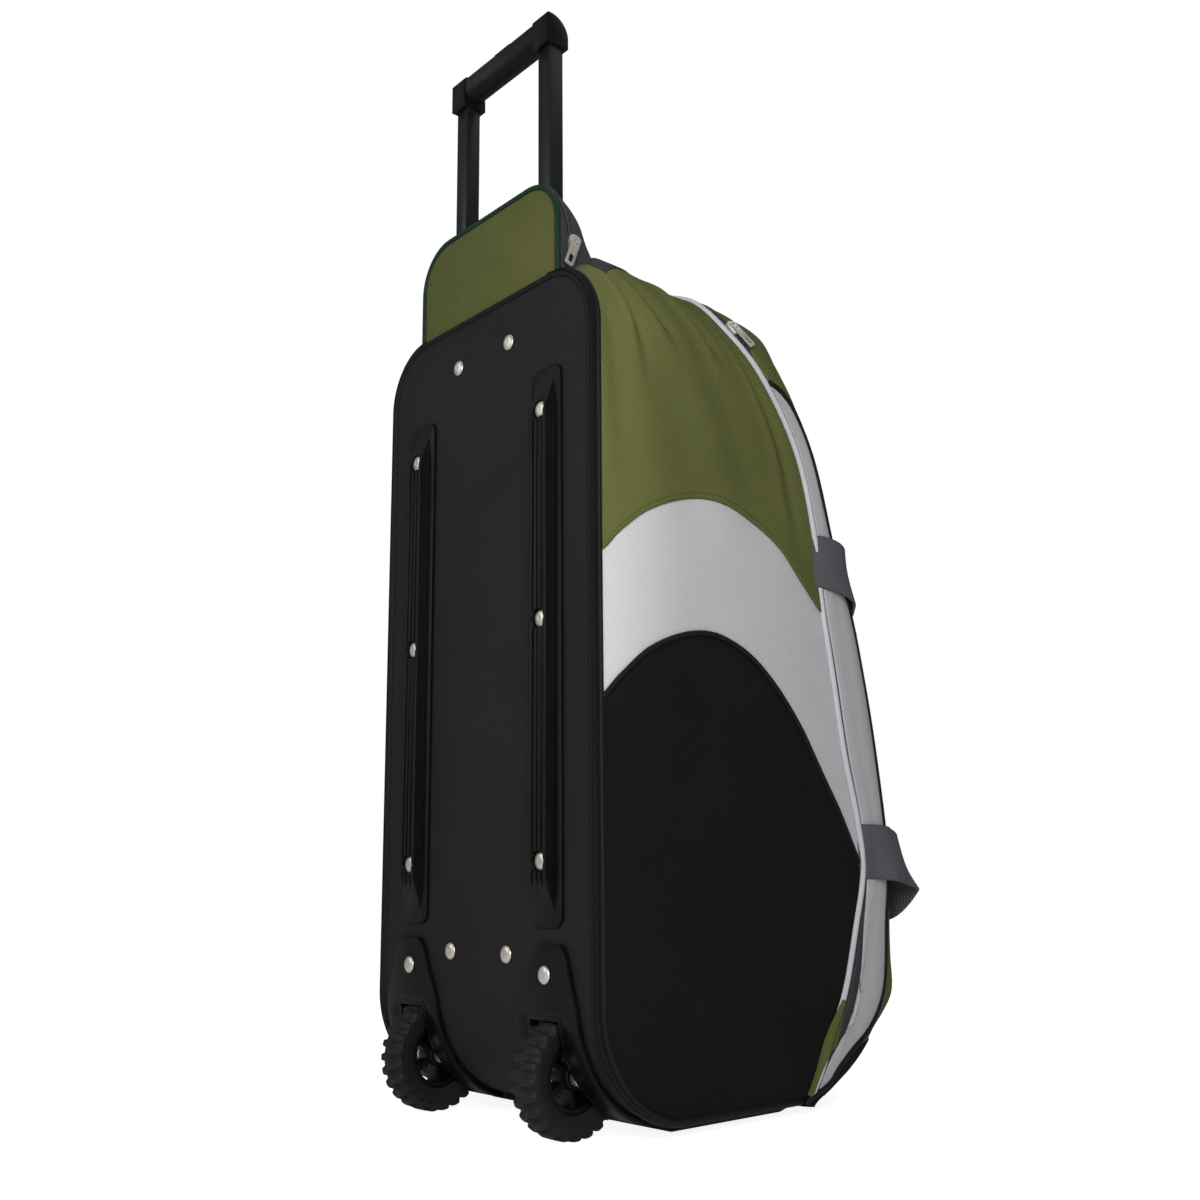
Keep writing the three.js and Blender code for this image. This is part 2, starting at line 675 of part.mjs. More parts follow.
const lidPipingLine = stripRows.map((row) => lidSurface(stripReach(row / LAST_ROW), row / LAST_ROW));
addPair('lid_piping', pipingAlong(lidPipingLine, LID_PIPING), FINISH.blackCloth);

// Top of the body between the corners, pierced for the two tubes of the handle's guide
const guideX = TUBE_WIDE / 2 + GUIDE_PLAY + GUIDE_WALL;
const guideY = TUBE_DEEP / 2 + GUIDE_PLAY + GUIDE_WALL;
const topSeam = new StationLine([0, ...TOP_STATIONS, 2].map((turn) => lidRow(1, turn, ZIP_SPAN)));
const topSurface = (across, along) => {
  const seam = topSeam.getPoint(1 - across);
  const half = CORNER_X - 3 * SEAM_GAP;
  const y = THREE.MathUtils.lerp(sideInset, seam.y - SEAM_PIPING - 2 * SEAM_GAP, along);
  const share = y / seam.y;
  const level = THREE.MathUtils.lerp(BACK_TOP, seam.z, share) + topLift(share);
  return new THREE.Vector3(THREE.MathUtils.clamp(seam.x, -half, half), y, level);
};
let topPanel = toSolid(clothWall(topSurface, evenSteps(TOP_STATIONS.length + 1), evenSteps(TOP_STEPS)));
for (const side of [-1, 1]) {
  const x = side * TUBE_X;
  const wideX = guideX + GAP;
  const deepY = guideY + GAP;
  const tall = [CORNER_Z, GRIP_BOTTOM];
  const hole = block(x - wideX, x + wideX, TUBE_Y - deepY, TUBE_Y + deepY, ...tall);
  topPanel = topPanel.subtract(toSolid(hole));
}
addPiece('top_panel', toGeometry(topPanel), FINISH.greenCloth);

// Base cloth, flat where the bag stands on it, up to the foot of the lid
function lidFootY(share) {
  const angle = Math.acos(Math.min(1, Math.abs(share)) ** (LID_SQUARENESS / 2));
  return lidRow(0, angle / (Math.PI / 2), 0).y;
}
const baseSurface = (across, along) => {
  const sideways = 2 * across - 1;
  const lengthways = 2 * along - 1;
  const from = HEEL + SEAM_GAP;
  const y = THREE.MathUtils.lerp(from, lidFootY(sideways) - 2 * SEAM_GAP, along);
  const half = THREE.MathUtils.lerp(HALF_WIDTH, LID_ROWS[0].seamX, along) - EDGE_PIPING - 2 * SEAM_GAP;
  const edge = lookUp(BASE_EASE, 'share', 'lift', sideways);
  const end = lookUp(BASE_EASE, 'share', 'lift', lengthways);
  return new THREE.Vector3(-sideways * half, y, BASE_DROP * Math.max(edge, end));
};
const baseSteps = BASE_EASE.map((row) => (row.share + 1) / 2);
addPiece('bottom_panel', clothWall(baseSurface, baseSteps, baseSteps), FINISH.blackCloth);

// Stiff back: straight down from its rounded top, then round the heel to the base
function backRows(inset) {
  const rows = [];
  for (const step of evenSteps(HEEL_STEPS)) {
    const turn = (1 - step) * Math.PI / 2;
    const y = HEEL - HEEL * Math.cos(turn);
    rows.push({ half: HALF_WIDTH - inset, y, z: HEEL_Z - HEEL * Math.sin(turn) });
  }
  rows.push({ half: HALF_WIDTH - inset, y: 0, z: (HEEL_Z + CORNER_Z) / 2 });
  for (const step of evenSteps(CORNER_STEPS)) {
    const turn = step * Math.PI / 2;
    const reach = CORNER - inset;
    rows.push({ half: CORNER_X + reach * Math.cos(turn), y: 0, z: CORNER_Z + reach * Math.sin(turn) });
  }
  return rows;
}
const panelRows = backRows(sideInset);
const backSurface = (across, along) => {
  const place = along * (panelRows.length - 1);
  const index = Math.min(panelRows.length - 2, Math.floor(place + 1e-9));
  const low = panelRows[index];
  const high = panelRows[index + 1];
  const half = THREE.MathUtils.lerp(low.half, high.half, place - index);
  const y = THREE.MathUtils.lerp(low.y, high.y, place - index);
  return new THREE.Vector3((2 * across - 1) * half, y, THREE.MathUtils.lerp(low.z, high.z, place - index));
};

// Space inside the bag's skin plus a little, that a wheel housing may fill
function insideSkin(proud) {
  const shape = new THREE.Shape();
  shape.moveTo(-proud, RAIL_BOTTOM);
  shape.absarc(HEEL, HEEL_Z, HEEL + proud, Math.PI, 1.5 * Math.PI);
  shape.lineTo(2 * HEEL, BASE_EDGE - proud);
  shape.lineTo(2 * HEEL, RAIL_BOTTOM);
  return shape;
}

function wellRod(radius, halfWide, sides = 18) {
  return toSolid(rodX(radius, WHEEL_X - halfWide, WHEEL_X + halfWide, WHEEL_Y, WHEEL_R, sides));
}

const wellOuter = WELL_R + WELL_WALL;
const wellOuterHalf = WELL_HALF + WELL_WALL;
let backPanel = toSolid(clothWall(backSurface, evenSteps(4), evenSteps(panelRows.length - 1)));
const backHole = wellRod(wellOuter + 2 * GAP, wellOuterHalf + 2 * GAP);
backPanel = backPanel.subtract(backHole).subtract(backHole.mirror([1, 0, 0]));
addPiece('back_panel', toGeometry(backPanel), FINISH.blackCloth);

// Piping round the back's edge, down the heels and along both sides of the base
const pipingSide = backRows(1).map((row) => new THREE.Vector3(row.half, row.y + 1, row.z));
pipingSide.unshift(new THREE.Vector3(LID_ROWS[0].seamX, BASE_FRONT - 2 * sideInset, BASE_EDGE));
const pipingLeft = pipingSide.map((point) => new THREE.Vector3(-point.x, point.y, point.z)).reverse();
addPiece('edge_piping', pipingAlong([...pipingSide, ...pipingLeft], EDGE_PIPING), FINISH.blackCloth);

// Wheel housing: a plate that hugs the heel, with a well for the wheel behind it
function platePoint(row, across) {
  const angle = row.turn / HEEL_STEPS * Math.PI / 2;
  const reach = HEEL + PLATE_PROUD;
  const y = row.turn > 0 ? HEEL - reach * Math.cos(angle) : -PLATE_PROUD;
  const z = row.turn > 0 ? HEEL_Z - reach * Math.sin(angle) : row.height;
  return new THREE.Vector3(THREE.MathUtils.lerp(row.outer, row.inner, across), y, z);
}
const plateSurface = (across, along) => {
  const place = along * (PLATE_ROWS.length - 1);
  const index = Math.min(PLATE_ROWS.length - 2, Math.floor(place));
  const low = platePoint(PLATE_ROWS[index], across);
  return low.lerp(platePoint(PLATE_ROWS[index + 1], across), place - index);
};
const plateSteps = evenSteps(PLATE_ROWS.length - 1);
const plate = clothWall(plateSurface, [0, 1], plateSteps, PLATE_PROUD - GAP);
const skin = toSolid(slabX(insideSkin(PLATE_PROUD), 0, HALF_WIDTH, 8));
const axleBore = toSolid(rodX(AXLE_R + GAP, 0, HALF_WIDTH, WHEEL_Y, WHEEL_R, 12));
const housing = toSolid(plate)
  .add(wellRod(wellOuter, wellOuterHalf).intersect(skin))
  .subtract(wellRod(WELL_R, WELL_HALF))
  .subtract(axleBore);
addPair('wheel_housing', toGeometry(housing), FINISH.blackPlastic);

// Tyre: a ring with lugs cut into both shoulders
const tyreProfile = [
  [TYRE_INNER, -TYRE_FOOT_HALF], [WHEEL_R - SHOULDER, -TYRE_HALF], [WHEEL_R, -TREAD_HALF],
  [WHEEL_R, TREAD_HALF], [WHEEL_R - SHOULDER, TYRE_HALF], [TYRE_INNER, TYRE_FOOT_HALF],
  [TYRE_INNER, -TYRE_FOOT_HALF],
].map(([radius, across]) => new THREE.Vector2(radius, across));
const tyreRing = new THREE.LatheGeometry(tyreProfile, 2 * LUGS);
tyreRing.rotateZ(-Math.PI / 2);
let tyre = toSolid(tyreRing);
for (let lug = 0; lug < LUGS; lug += 1) {
  const turn = (lug + 0.5) / LUGS * 2 * Math.PI;
  for (const side of [-1, 1]) {
    const notch = new THREE.BoxGeometry(TYRE_HALF, LUG_GAP, 2 * LUG_DEPTH);
    notch.translate(side * (TYRE_HALF - LUG_INSET), 0, WHEEL_R);
    notch.rotateX(turn + side * Math.PI / LUGS / 2);
    tyre = tyre.subtract(toSolid(notch));
  }
}
tyre = tyre.translate([WHEEL_X, WHEEL_Y, WHEEL_R]);
addPair('tyre', toGeometry(tyre), FINISH.rubber);

// Hub: a rim, spokes and a boss in one moulding
const hubRim = TYRE_INNER - GAP;
const hubShape = new THREE.Shape();
const spokeTurn = 2 * Math.PI / SPOKES;
for (let spoke = 0; spoke < SPOKES; spoke += 1) {
  const from = (spoke + SPOKE_SHARE) * spokeTurn;
  const to = (spoke + 1 - SPOKE_SHARE) * spokeTurn;
  hubShape.absarc(0, 0, hubRim, spoke * spokeTurn, (spoke + 1) * spokeTurn);
  const window = new THREE.Path();
  window.absarc(0, 0, hubRim - HUB_RIM, from, to);
  window.absarc(0, 0, HUB_BOSS, to - SPOKE_ROOT, from + SPOKE_ROOT, true);
  hubShape.holes.push(window);
}
const hubBore = new THREE.Path();
hubBore.absarc(0, 0, AXLE_R + GAP, 0, Math.PI);
hubBore.absarc(0, 0, AXLE_R + GAP, Math.PI, 2 * Math.PI);
hubShape.holes.push(hubBore);
const hub = slabX(hubShape, WHEEL_X - HUB_HALF, WHEEL_X + HUB_HALF, HUB_FACETS);
hub.translate(0, WHEEL_Y, WHEEL_R);
addPair('wheel_hub', hub, FINISH.blackPlastic);

// Axle: a pin with a collar on each side of the hub
const collarFrom = HUB_HALF + GAP;
const collarTo = WELL_HALF - GAP;
const axleProfile = [
  [0, -wellOuterHalf], [AXLE_R, -wellOuterHalf], [AXLE_R, -collarTo], [CAP_R, -collarTo],
  [CAP_R, -collarFrom], [AXLE_R, -collarFrom], [AXLE_R, collarFrom], [CAP_R, collarFrom],
  [CAP_R, collarTo], [AXLE_R, collarTo], [AXLE_R, wellOuterHalf], [0, wellOuterHalf],
].map(([radius, across]) => new THREE.Vector2(radius, across));
const axle = new THREE.LatheGeometry(axleProfile, 8);
axle.rotateZ(-Math.PI / 2);
axle.translate(WHEEL_X, WHEEL_Y, WHEEL_R);
addPair('axle', axle, FINISH.nickel);

// Skid rail: a flat flange, a grooved ridge with sloped ends, and a recess for each rivet
const flangeX = [RAIL_X - FLANGE_HALF, RAIL_X + FLANGE_HALF];
const flange = roundedRectangle(...flangeX, RAIL_BOTTOM, RAIL_TOP, FLANGE_CORNER);
const ridgeSide = new THREE.Shape();
ridgeSide.moveTo(-FLANGE_THICK, RAIL_BOTTOM + RIDGE_END);
ridgeSide.lineTo(-RIDGE_PROUD, RAIL_BOTTOM + RIDGE_END + RIDGE_SLOPE);
ridgeSide.lineTo(-RIDGE_PROUD, RAIL_TOP - RIDGE_END - RIDGE_SLOPE);
ridgeSide.lineTo(-FLANGE_THICK, RAIL_TOP - RIDGE_END);
ridgeSide.lineTo(-FLANGE_THICK / 2, RAIL_TOP - RIDGE_END);
ridgeSide.lineTo(-FLANGE_THICK / 2, RAIL_BOTTOM + RIDGE_END);
let rail = toSolid(slabY(flange, -FLANGE_THICK, -GAP, 2))
  .add(toSolid(slabX(ridgeSide, RAIL_X - RIDGE_HALF, RAIL_X + RIDGE_HALF)));
for (const groove of [-GROOVE_X, 0, GROOVE_X]) {
  const from = RAIL_X + groove - GROOVE_HALF;
  const floor = -RIDGE_PROUD + GROOVE_DEPTH;
  const cut = block(from, from + 2 * GROOVE_HALF, -2 * RIDGE_PROUD, floor, RAIL_BOTTOM, RAIL_TOP);
  rail = rail.subtract(toSolid(cut));
}
for (const pair of RIVET_PAIRS.filter((row) => row.seat === RECESS_FLOOR)) {
  const recess = rodY(RECESS_R, -2 * RIDGE_PROUD, -RECESS_FLOOR + GAP, RAIL_X, pair.height, 8);
  rail = rail.subtract(toSolid(recess));
}
addPair('skid_rail', toGeometry(rail), FINISH.blackPlastic);

// Rivets: low domed heads
const rivetProfile = [
  [0, 0], [RIVET_R, 0], [RIVET_R * CROWN_RADIUS, RIVET_HEAD * CROWN_HEIGHT], [0, RIVET_HEAD],
].map(([radius, height]) => new THREE.Vector2(radius, height));
for (const pair of RIVET_PAIRS) {
  const rivet = new THREE.LatheGeometry(rivetProfile, 8);
  rivet.rotateX(Math.PI);
  rivet.translate(pair.offset, -pair.seat - GAP, pair.height);
  addPair(pair.name, rivet, FINISH.nickel);
}

// Handle: two hollow tubes that slide in a guide behind the back, and a grip across their tops
function tubeShape(halfX, halfY, wall, radius) {
  const shape = roundedRectangle(-halfX, halfX, -halfY, halfY, radius);
  shape.holes.push(roundedRectangle(-halfX + wall, halfX - wall, -halfY + wall, halfY - wall, radius / 2));
  return shape;
}

function uprightTube(shape, from, to) {
  const depth = to - from;
  const tube = new THREE.ExtrudeGeometry(shape, { depth, bevelEnabled: false, curveSegments: 1 });
  tube.translate(TUBE_X, TUBE_Y, from);
  return tube;
}

const tubeTop = GRIP_BOTTOM + SOCKET_DEPTH;
const tubeSection = tubeShape(TUBE_WIDE / 2, TUBE_DEEP / 2, TUBE_WALL, TUBE_CORNER);
const tube = uprightTube(tubeSection, TUBE_FOOT, tubeTop);
addPair('handle_tube', tube, FINISH.blackTube);

const guideSection = tubeShape(guideX, guideY, GUIDE_WALL, TUBE_CORNER + GUIDE_PLAY);
const guideTube = uprightTube(guideSection, GUIDE_FOOT, GUIDE_TOP);
let guide = toSolid(guideTube).add(toSolid(mirrored(guideTube)));
for (const name of ['back_rivet', 'base_rivet']) {
  const { height } = RIVET_PAIRS.find((row) => row.name === name);
  const cleat = block(-TUBE_X - guideX, TUBE_X + guideX, CLOTH + GAP, TUBE_Y - guideY + GUIDE_WALL / 2,
    height - CLEAT_HALF, height + CLEAT_HALF);
  guide = guide.add(toSolid(cleat));
}
addPiece('handle_guide', toGeometry(guide), FINISH.blackTube);

const bracketSide = new THREE.Shape();
bracketSide.moveTo(GRIP_BACK, GRIP_BOTTOM);
bracketSide.lineTo(GRIP_FRONT, GRIP_BOTTOM);
bracketSide.absarc(GRIP_FRONT - GRIP_ROUND, GRIP_TOP - GRIP_ROUND, GRIP_ROUND, 0, Math.PI / 2);
bracketSide.absarc(GRIP_BACK + GRIP_EDGE, GRIP_TOP - GRIP_EDGE, GRIP_EDGE, Math.PI / 2, Math.PI);
const barBack = GRIP_BACK + BAR_STEP;
const barMiddle = BAR_BOTTOM + BAR_DROP_R;
const barTop = GRIP_TOP - BAR_STEP;
const barRound = barTop - barMiddle;
const barSide = new THREE.Shape();
barSide.moveTo(barBack, barTop - GRIP_EDGE);
barSide.absarc(barBack + BAR_DROP_R, barMiddle, BAR_DROP_R, Math.PI, 2 * Math.PI);
barSide.absarc(barBack + 2 * BAR_DROP_R - barRound, barMiddle, barRound, 0, Math.PI / 2);
barSide.absarc(barBack + GRIP_EDGE, barTop - GRIP_EDGE, GRIP_EDGE, Math.PI / 2, Math.PI);
const bracketFrom = TUBE_X - BRACKET_WIDE / 2;
const bracketTo = TUBE_X + BRACKET_WIDE / 2;
let grip = toSolid(slabX(barSide, -TUBE_X, TUBE_X, 5));
for (const [from, to] of [[bracketFrom, bracketTo], [-bracketTo, -bracketFrom]]) {
  const socket = [(from + to) / 2 - TUBE_WIDE / 2 - GAP, (from + to) / 2 + TUBE_WIDE / 2 + GAP];
  const deep = [TUBE_Y - TUBE_DEEP / 2 - GAP, TUBE_Y + TUBE_DEEP / 2 + GAP];
  grip = grip.add(toSolid(slabX(bracketSide, from, to, 5)));
  grip = grip.subtract(toSolid(block(...socket, ...deep, GRIP_BOTTOM - SOCKET_DEPTH, tubeTop + GAP)));
}
const buttonY = [BUTTON_Y - BUTTON_DEEP / 2, BUTTON_Y + BUTTON_DEEP / 2];
const buttonFloor = GRIP_TOP - BUTTON_WELL;
const buttonWell = block(-BUTTON_HALF - GAP, BUTTON_HALF + GAP, buttonY[0] - GAP, buttonY[1] + GAP,
  buttonFloor, GRIP_TOP + BUTTON_WELL);
addPiece('grip', toGeometry(grip.subtract(toSolid(buttonWell))), FINISH.blackPlastic);

const buttonShape = roundedRectangle(-BUTTON_HALF, BUTTON_HALF, ...buttonY, BUTTON_CORNER);
const buttonForm = { depth: BUTTON_TALL, bevelEnabled: false, curveSegments: 2 };
const button = new THREE.ExtrudeGeometry(buttonShape, buttonForm);
button.translate(0, 0, GRIP_TOP + BUTTON_PROUD - BUTTON_TALL);
addPiece('release_button', button, FINISH.blackPlastic);

// Pocket: its arched outline from the right foot (-1) over the top (0) to the left foot (1)
function pocketEdge(place, inset) {
  const half = POCKET_HALF - inset;
  const top = POCKET_TOP - inset;
  const radius = POCKET_CORNER - inset;
  const side = place < 0 ? 1 : -1;
  const away = Math.abs(place);
  if (away > POCKET_STRAIGHT) {
    const down = (away - POCKET_STRAIGHT) / (1 - POCKET_STRAIGHT);
    return new THREE.Vector3(side * half, 0, THREE.MathUtils.lerp(top - radius, POCKET_FOOT, down));
  }
  if (away > POCKET_LEVEL) {
    const turn = (POCKET_STRAIGHT - away) / (POCKET_STRAIGHT - POCKET_LEVEL) * Math.PI / 2;
    const x = half - radius + radius * Math.cos(turn);
    return new THREE.Vector3(side * x, 0, top - radius + radius * Math.sin(turn));
  }
  return new THREE.Vector3(side * (half - radius) * away / POCKET_LEVEL, 0, top);
}

// The top's height at a distance from the back, which the foot of the pocket's wall follows
function topLevel(y) {
  const share = y / LID_ROWS[LAST_ROW].seamY;
  return THREE.MathUtils.lerp(BACK_TOP, LID_ROWS[LAST_ROW].seamZ, share) + topLift(share);
}
const gussetDepth = (z) => lookUp(GUSSET_ROWS, 'height', 'depth', z);

// A wall of the pocket inside its outline, facing out of the bag's back (1) or towards the lid (-1)
function pocketWall(inset, facing, depthAt, footAt) {
  return (across, along) => {
    const place = THREE.MathUtils.lerp(-POCKET_STRAIGHT, POCKET_STRAIGHT, across);
    const edge = pocketEdge(place, inset);
    const z = THREE.MathUtils.lerp(footAt(edge.x), edge.z, along);
    return new THREE.Vector3(-facing * edge.x, depthAt(edge.x, z), z);
  };
}
const flapDepth = (x, z) => {
  const crown = 1 - (x / POCKET_HALF) ** 2;
  const height = (z - POCKET_FOOT) / (POCKET_TOP - POCKET_FOOT);
  return FLAP_Y - FLAP_SWELL * crown * Math.sin(Math.PI * height);
};
const flapFoot = () => POCKET_FOOT + SEAM_GAP;
const outwards = (x) => 1 - THREE.MathUtils.smoothstep(POCKET_HALF - Math.abs(x), FLARE_TO, FLARE_FROM);
const backDepth = (x, z) => THREE.MathUtils.lerp(POCKET_BACK_Y, gussetDepth(z), outwards(x));
const backFoot = (x) => {
  const reach = THREE.MathUtils.lerp(POCKET_BACK_Y, GUSSET_REACH, outwards(x));
  return topLevel(reach) + SEAM_GAP;
};
const flapSurface = pocketWall(POCKET_PIPING + 2 * SEAM_GAP, 1, flapDepth, flapFoot);
addPiece('pocket_flap', clothWall(flapSurface, POCKET_STEPS, evenSteps(POCKET_RISES)), FINISH.greenCloth);
const pocketBack = pocketWall(CLOTH + SEAM_GAP, -1, backDepth, backFoot);
addPiece('pocket_back', clothWall(pocketBack, POCKET_STEPS, evenSteps(POCKET_RISES)), FINISH.greenCloth);

const gussetSurface = (across, along) => {
  const edge = pocketEdge(2 * along - 1, 0);
  const y = THREE.MathUtils.lerp(FLAP_Y + POCKET_PIPING + SEAM_GAP, gussetDepth(edge.z), across);
  return new THREE.Vector3(edge.x, y, edge.z);
};
const gussetAlong = [...GUSSET_STEPS, 0.5, ...GUSSET_STEPS.map((place) => 1 - place).reverse()];
addPiece('pocket_gusset', clothWall(gussetSurface, [0, 1], gussetAlong), FINISH.greyWeb);

const pocketPipingPoints = evenSteps(POCKET_PIPING_STEPS).map((step) => {
  const point = pocketEdge(2 * step - 1, SEAM_GAP);
  point.y = FLAP_Y;
  point.z += SEAM_GAP * Math.abs(2 * step - 1);
  return point;
});
addPiece('pocket_piping', pipingAlong(pocketPipingPoints, POCKET_PIPING), FINISH.greenPiping);

// Carry handles: flat webbing that turns over from the side of the lid to its front and back
const strapLine = new THREE.CatmullRomCurve3(
  STRAP_ROWS.map((row) => new THREE.Vector3(row.x, row.y, row.z)), false, 'centripetal');
const strapEnd = STRAP_ROWS.length - 1;
const strapLeans = STRAP_ROWS.map((row, index) => ({ place: index / strapEnd, lean: row.lean }));
const strapSurface = (across, along) => {
  const tangent = strapLine.getTangent(along);
  const lean = THREE.MathUtils.degToRad(lookUp(strapLeans, 'place', 'lean', along));
  const width = new THREE.Vector3(Math.sin(lean), 0, Math.cos(lean));
  width.addScaledVector(tangent, -width.dot(tangent)).normalize();
  return strapLine.getPoint(along).addScaledVector(width, (across - 0.5) * STRAP_WIDE);
};
addPair('carry_strap', clothWall(strapSurface, [0, 1], evenSteps(STRAP_STEPS)), FINISH.greyWeb);

// Zip sliders and pullers, laid out flat and then set on the zip: u along it, v across it, w out of it
function setOnZip(geometry, origin, u, w) {
  const v = w.clone().cross(u).normalize();
  const place = new THREE.Matrix4().makeBasis(u, v, w).setPosition(origin);
  return geometry.applyMatrix4(place);
}

function sliderBody() {
  const [long, wide] = [SLIDER_LONG / 2, SLIDER_WIDE / 2];
  const shape = roundedRectangle(-long, long, -wide, wide, SLIDER_CORNER);
  const form = { depth: SLIDER_HIGH, bevelEnabled: false, curveSegments: 1 };
  const body = new THREE.ExtrudeGeometry(shape, form);
  const postLong = EYE_LONG / 2 - SEAM_GAP;
  const postTop = SLIDER_HIGH + PULLER_THICK + 2 * GAP;
  const post = block(-postLong, postLong, -POST_HALF, POST_HALF, SLIDER_HIGH / 2, postTop);
  return toGeometry(toSolid(body).add(toSolid(post)));
}

function pullerTab() {
  const from = -EYE_LONG / 2 - PULLER_CORNER;
  const half = PULLER_WIDE / 2;
  const shape = roundedRectangle(from, from + PULLER_LONG, -half, half, PULLER_CORNER);
  shape.holes.push(roundedRectangle(-EYE_LONG / 2, EYE_LONG / 2, -EYE_HALF, EYE_HALF, EYE_HALF / 2));
  const slot = from + PULLER_LONG - SLOT_MARGIN;
  shape.holes.push(roundedRectangle(slot - SLOT_LONG, slot, -SLOT_HALF, SLOT_HALF, SLOT_HALF / 2));
  const form = { depth: PULLER_THICK, bevelEnabled: false, curveSegments: 1 };
  const tab = new THREE.ExtrudeGeometry(shape, form);
  tab.translate(0, 0, SLIDER_HIGH + GAP);
  return tab;
}

const sliderRise = MAIN_SLIDER_ROW / LAST_ROW;
const zipDown = seamLine.getTangent(sliderRise).negate();
const zipAcross = acrossSeam(sliderRise);
const zipOut = zipAcross.clone().cross(zipDown).normalize().negate();
const mainPlace = seamLine.getPoint(sliderRise)
  .addScaledVector(zipAcross, (SEAM_PIPING + ZIP_SPAN) / 2)
  .addScaledVector(zipOut, GAP);
addPiece('main_slider', setOnZip(sliderBody(), mainPlace, zipDown, zipOut), FINISH.nickel);
addPiece('main_puller', setOnZip(pullerTab(), mainPlace, zipDown, zipOut), FINISH.nickel);

const down = new THREE.Vector3(0, 0, -1);
const out = new THREE.Vector3(1, 0, 0);
const pocketPlace = new THREE.Vector3(POCKET_HALF + GAP, POCKET_SLIDER_Y, POCKET_SLIDER_Z);
addPiece('pocket_slider', setOnZip(sliderBody(), pocketPlace, down, out), FINISH.nickel);
const hanging = new THREE.Vector3(0, -PULLER_TILT, -1).normalize();
addPiece('pocket_puller', setOnZip(pullerTab(), pocketPlace, hanging, out), FINISH.nickel);

// The origin is the middle of the bag's footprint, on the floor
const extent = new THREE.Box3().setFromObject(bag);
bag.position.y = -(extent.min.y + extent.max.y) / 2;

export default bag;
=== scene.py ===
"""Dresses the wheeled bag: cloth, piping, zips, webbing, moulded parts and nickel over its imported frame."""

import math

import bmesh
import bpy
from mathutils import Matrix, Vector


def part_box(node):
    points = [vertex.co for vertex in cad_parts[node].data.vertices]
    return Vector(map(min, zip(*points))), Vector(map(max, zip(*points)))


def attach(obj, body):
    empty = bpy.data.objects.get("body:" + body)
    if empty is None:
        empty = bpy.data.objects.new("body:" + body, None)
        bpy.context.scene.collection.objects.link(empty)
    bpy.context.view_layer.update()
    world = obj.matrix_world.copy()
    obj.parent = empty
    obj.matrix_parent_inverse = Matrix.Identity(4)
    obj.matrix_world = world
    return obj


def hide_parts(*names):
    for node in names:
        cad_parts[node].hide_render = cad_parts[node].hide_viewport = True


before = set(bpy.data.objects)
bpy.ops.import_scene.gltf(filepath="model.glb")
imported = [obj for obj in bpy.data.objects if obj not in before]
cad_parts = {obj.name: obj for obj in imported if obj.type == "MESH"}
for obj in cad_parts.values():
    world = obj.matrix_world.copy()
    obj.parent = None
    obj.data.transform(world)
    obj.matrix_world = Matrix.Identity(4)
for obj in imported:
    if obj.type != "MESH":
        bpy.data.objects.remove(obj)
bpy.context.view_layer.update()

# Lengths are in millimetres, with y measured from the outer face of the stiff back
MM = 0.001
AXLE_Y = 19
AXLE_LOW, AXLE_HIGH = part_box("axle_right")
BACK_FACE = (AXLE_LOW.y + AXLE_HIGH.y) / 2 - AXLE_Y * MM

# Body
HALF_WIDTH = 150
BACK_TOP = 695
CORNER = 55
HEEL = 86
BASE_EDGE = 12
HEEL_Z = BASE_EDGE + HEEL
CORNER_Z = BACK_TOP - CORNER
CORNER_X = HALF_WIDTH - CORNER
SIDE_SWELL = 5
BASE_DROP = 11
BASE_FLAT = 0.8
BASE_FRONT_HALF = 141
BASE_FRONT_Y = 226
BASE_STEPS = 6
ARC_STEPS = 12
ZIP_SPAN = 16
TEETH_SET_BACK = 8
TAPE_UNDER_LID = 1

# Thickness of the cloths and the webbing
CLOTH = 1.6
BACK_CLOTH = 1.8
THIN_CLOTH = 0.9
TAPE_CLOTH = 0.8
WEB_THICK = 2.2

# Radius of each welt, rim and row of teeth
LID_WELT_R = 2.7
SEAM_WELT_R = 3
RIM_R = 2.3
SIDE_WELT_R = 2.4
EDGE_WELT_R = 3.2
POCKET_WELT_R = 2.6
ZIP_TEETH_R = 0.9
POCKET_TEETH_R = 1.6

# Lid, a row for each height: seam x, y and z on the right side, then y and z of the middle of the front
LID_ROWS = [
    (141, 236, 10, 240, 6),
    (149.5, 244, 36, 310, 32),
    (150, 258, 64, 361, 66),
    (150, 276, 95, 379, 100),
    (150, 294, 148, 381, 152),
    (150, 308, 200, 379, 203),
    (150, 303, 245, 378, 248),
    (150, 290, 300, 374, 305),
    (150, 278, 375, 360, 374),
    (150, 268, 435, 343, 432),
    (150, 262, 496, 304, 493),
    (150, 241, 575, 281, 568),
    (150, 195, 640, 268, 629),
    (143, 166, 670, 254, 672),
    (123, 145, 700, 222, 703),
    (96, 131, 712, 148, 715.5),
]
LAST_ROW = len(LID_ROWS) - 1
CORNER_ROW = 12
SEAM_STEPS = 150
OVER_STEPS = 40

# How far the top rises above a straight line from the back to the seam: share of the way, lift
TOP_LIFT = [(0, 0), (0.15, 11), (0.3, 21), (0.42, 24), (0.6, 15.5), (0.8, 3), (1, 0)]

# How far the lid's edge laps over the zip, up its rows: row, lap
ZIP_LAPS = [
    (0, 11), (1.2, 11), (1.9, 5), (2.4, 0), (3.2, 0), (4.2, 7), (4.9, 11),
    (5.6, 12), (7.5, 11), (9, 12), (12.1, 12), (12.45, 8), (12.7, 2.5), (15, 2),
]
LAP_TURN = 0.06
LAP_RISE = 1.4
LAP_EASE = 0.03

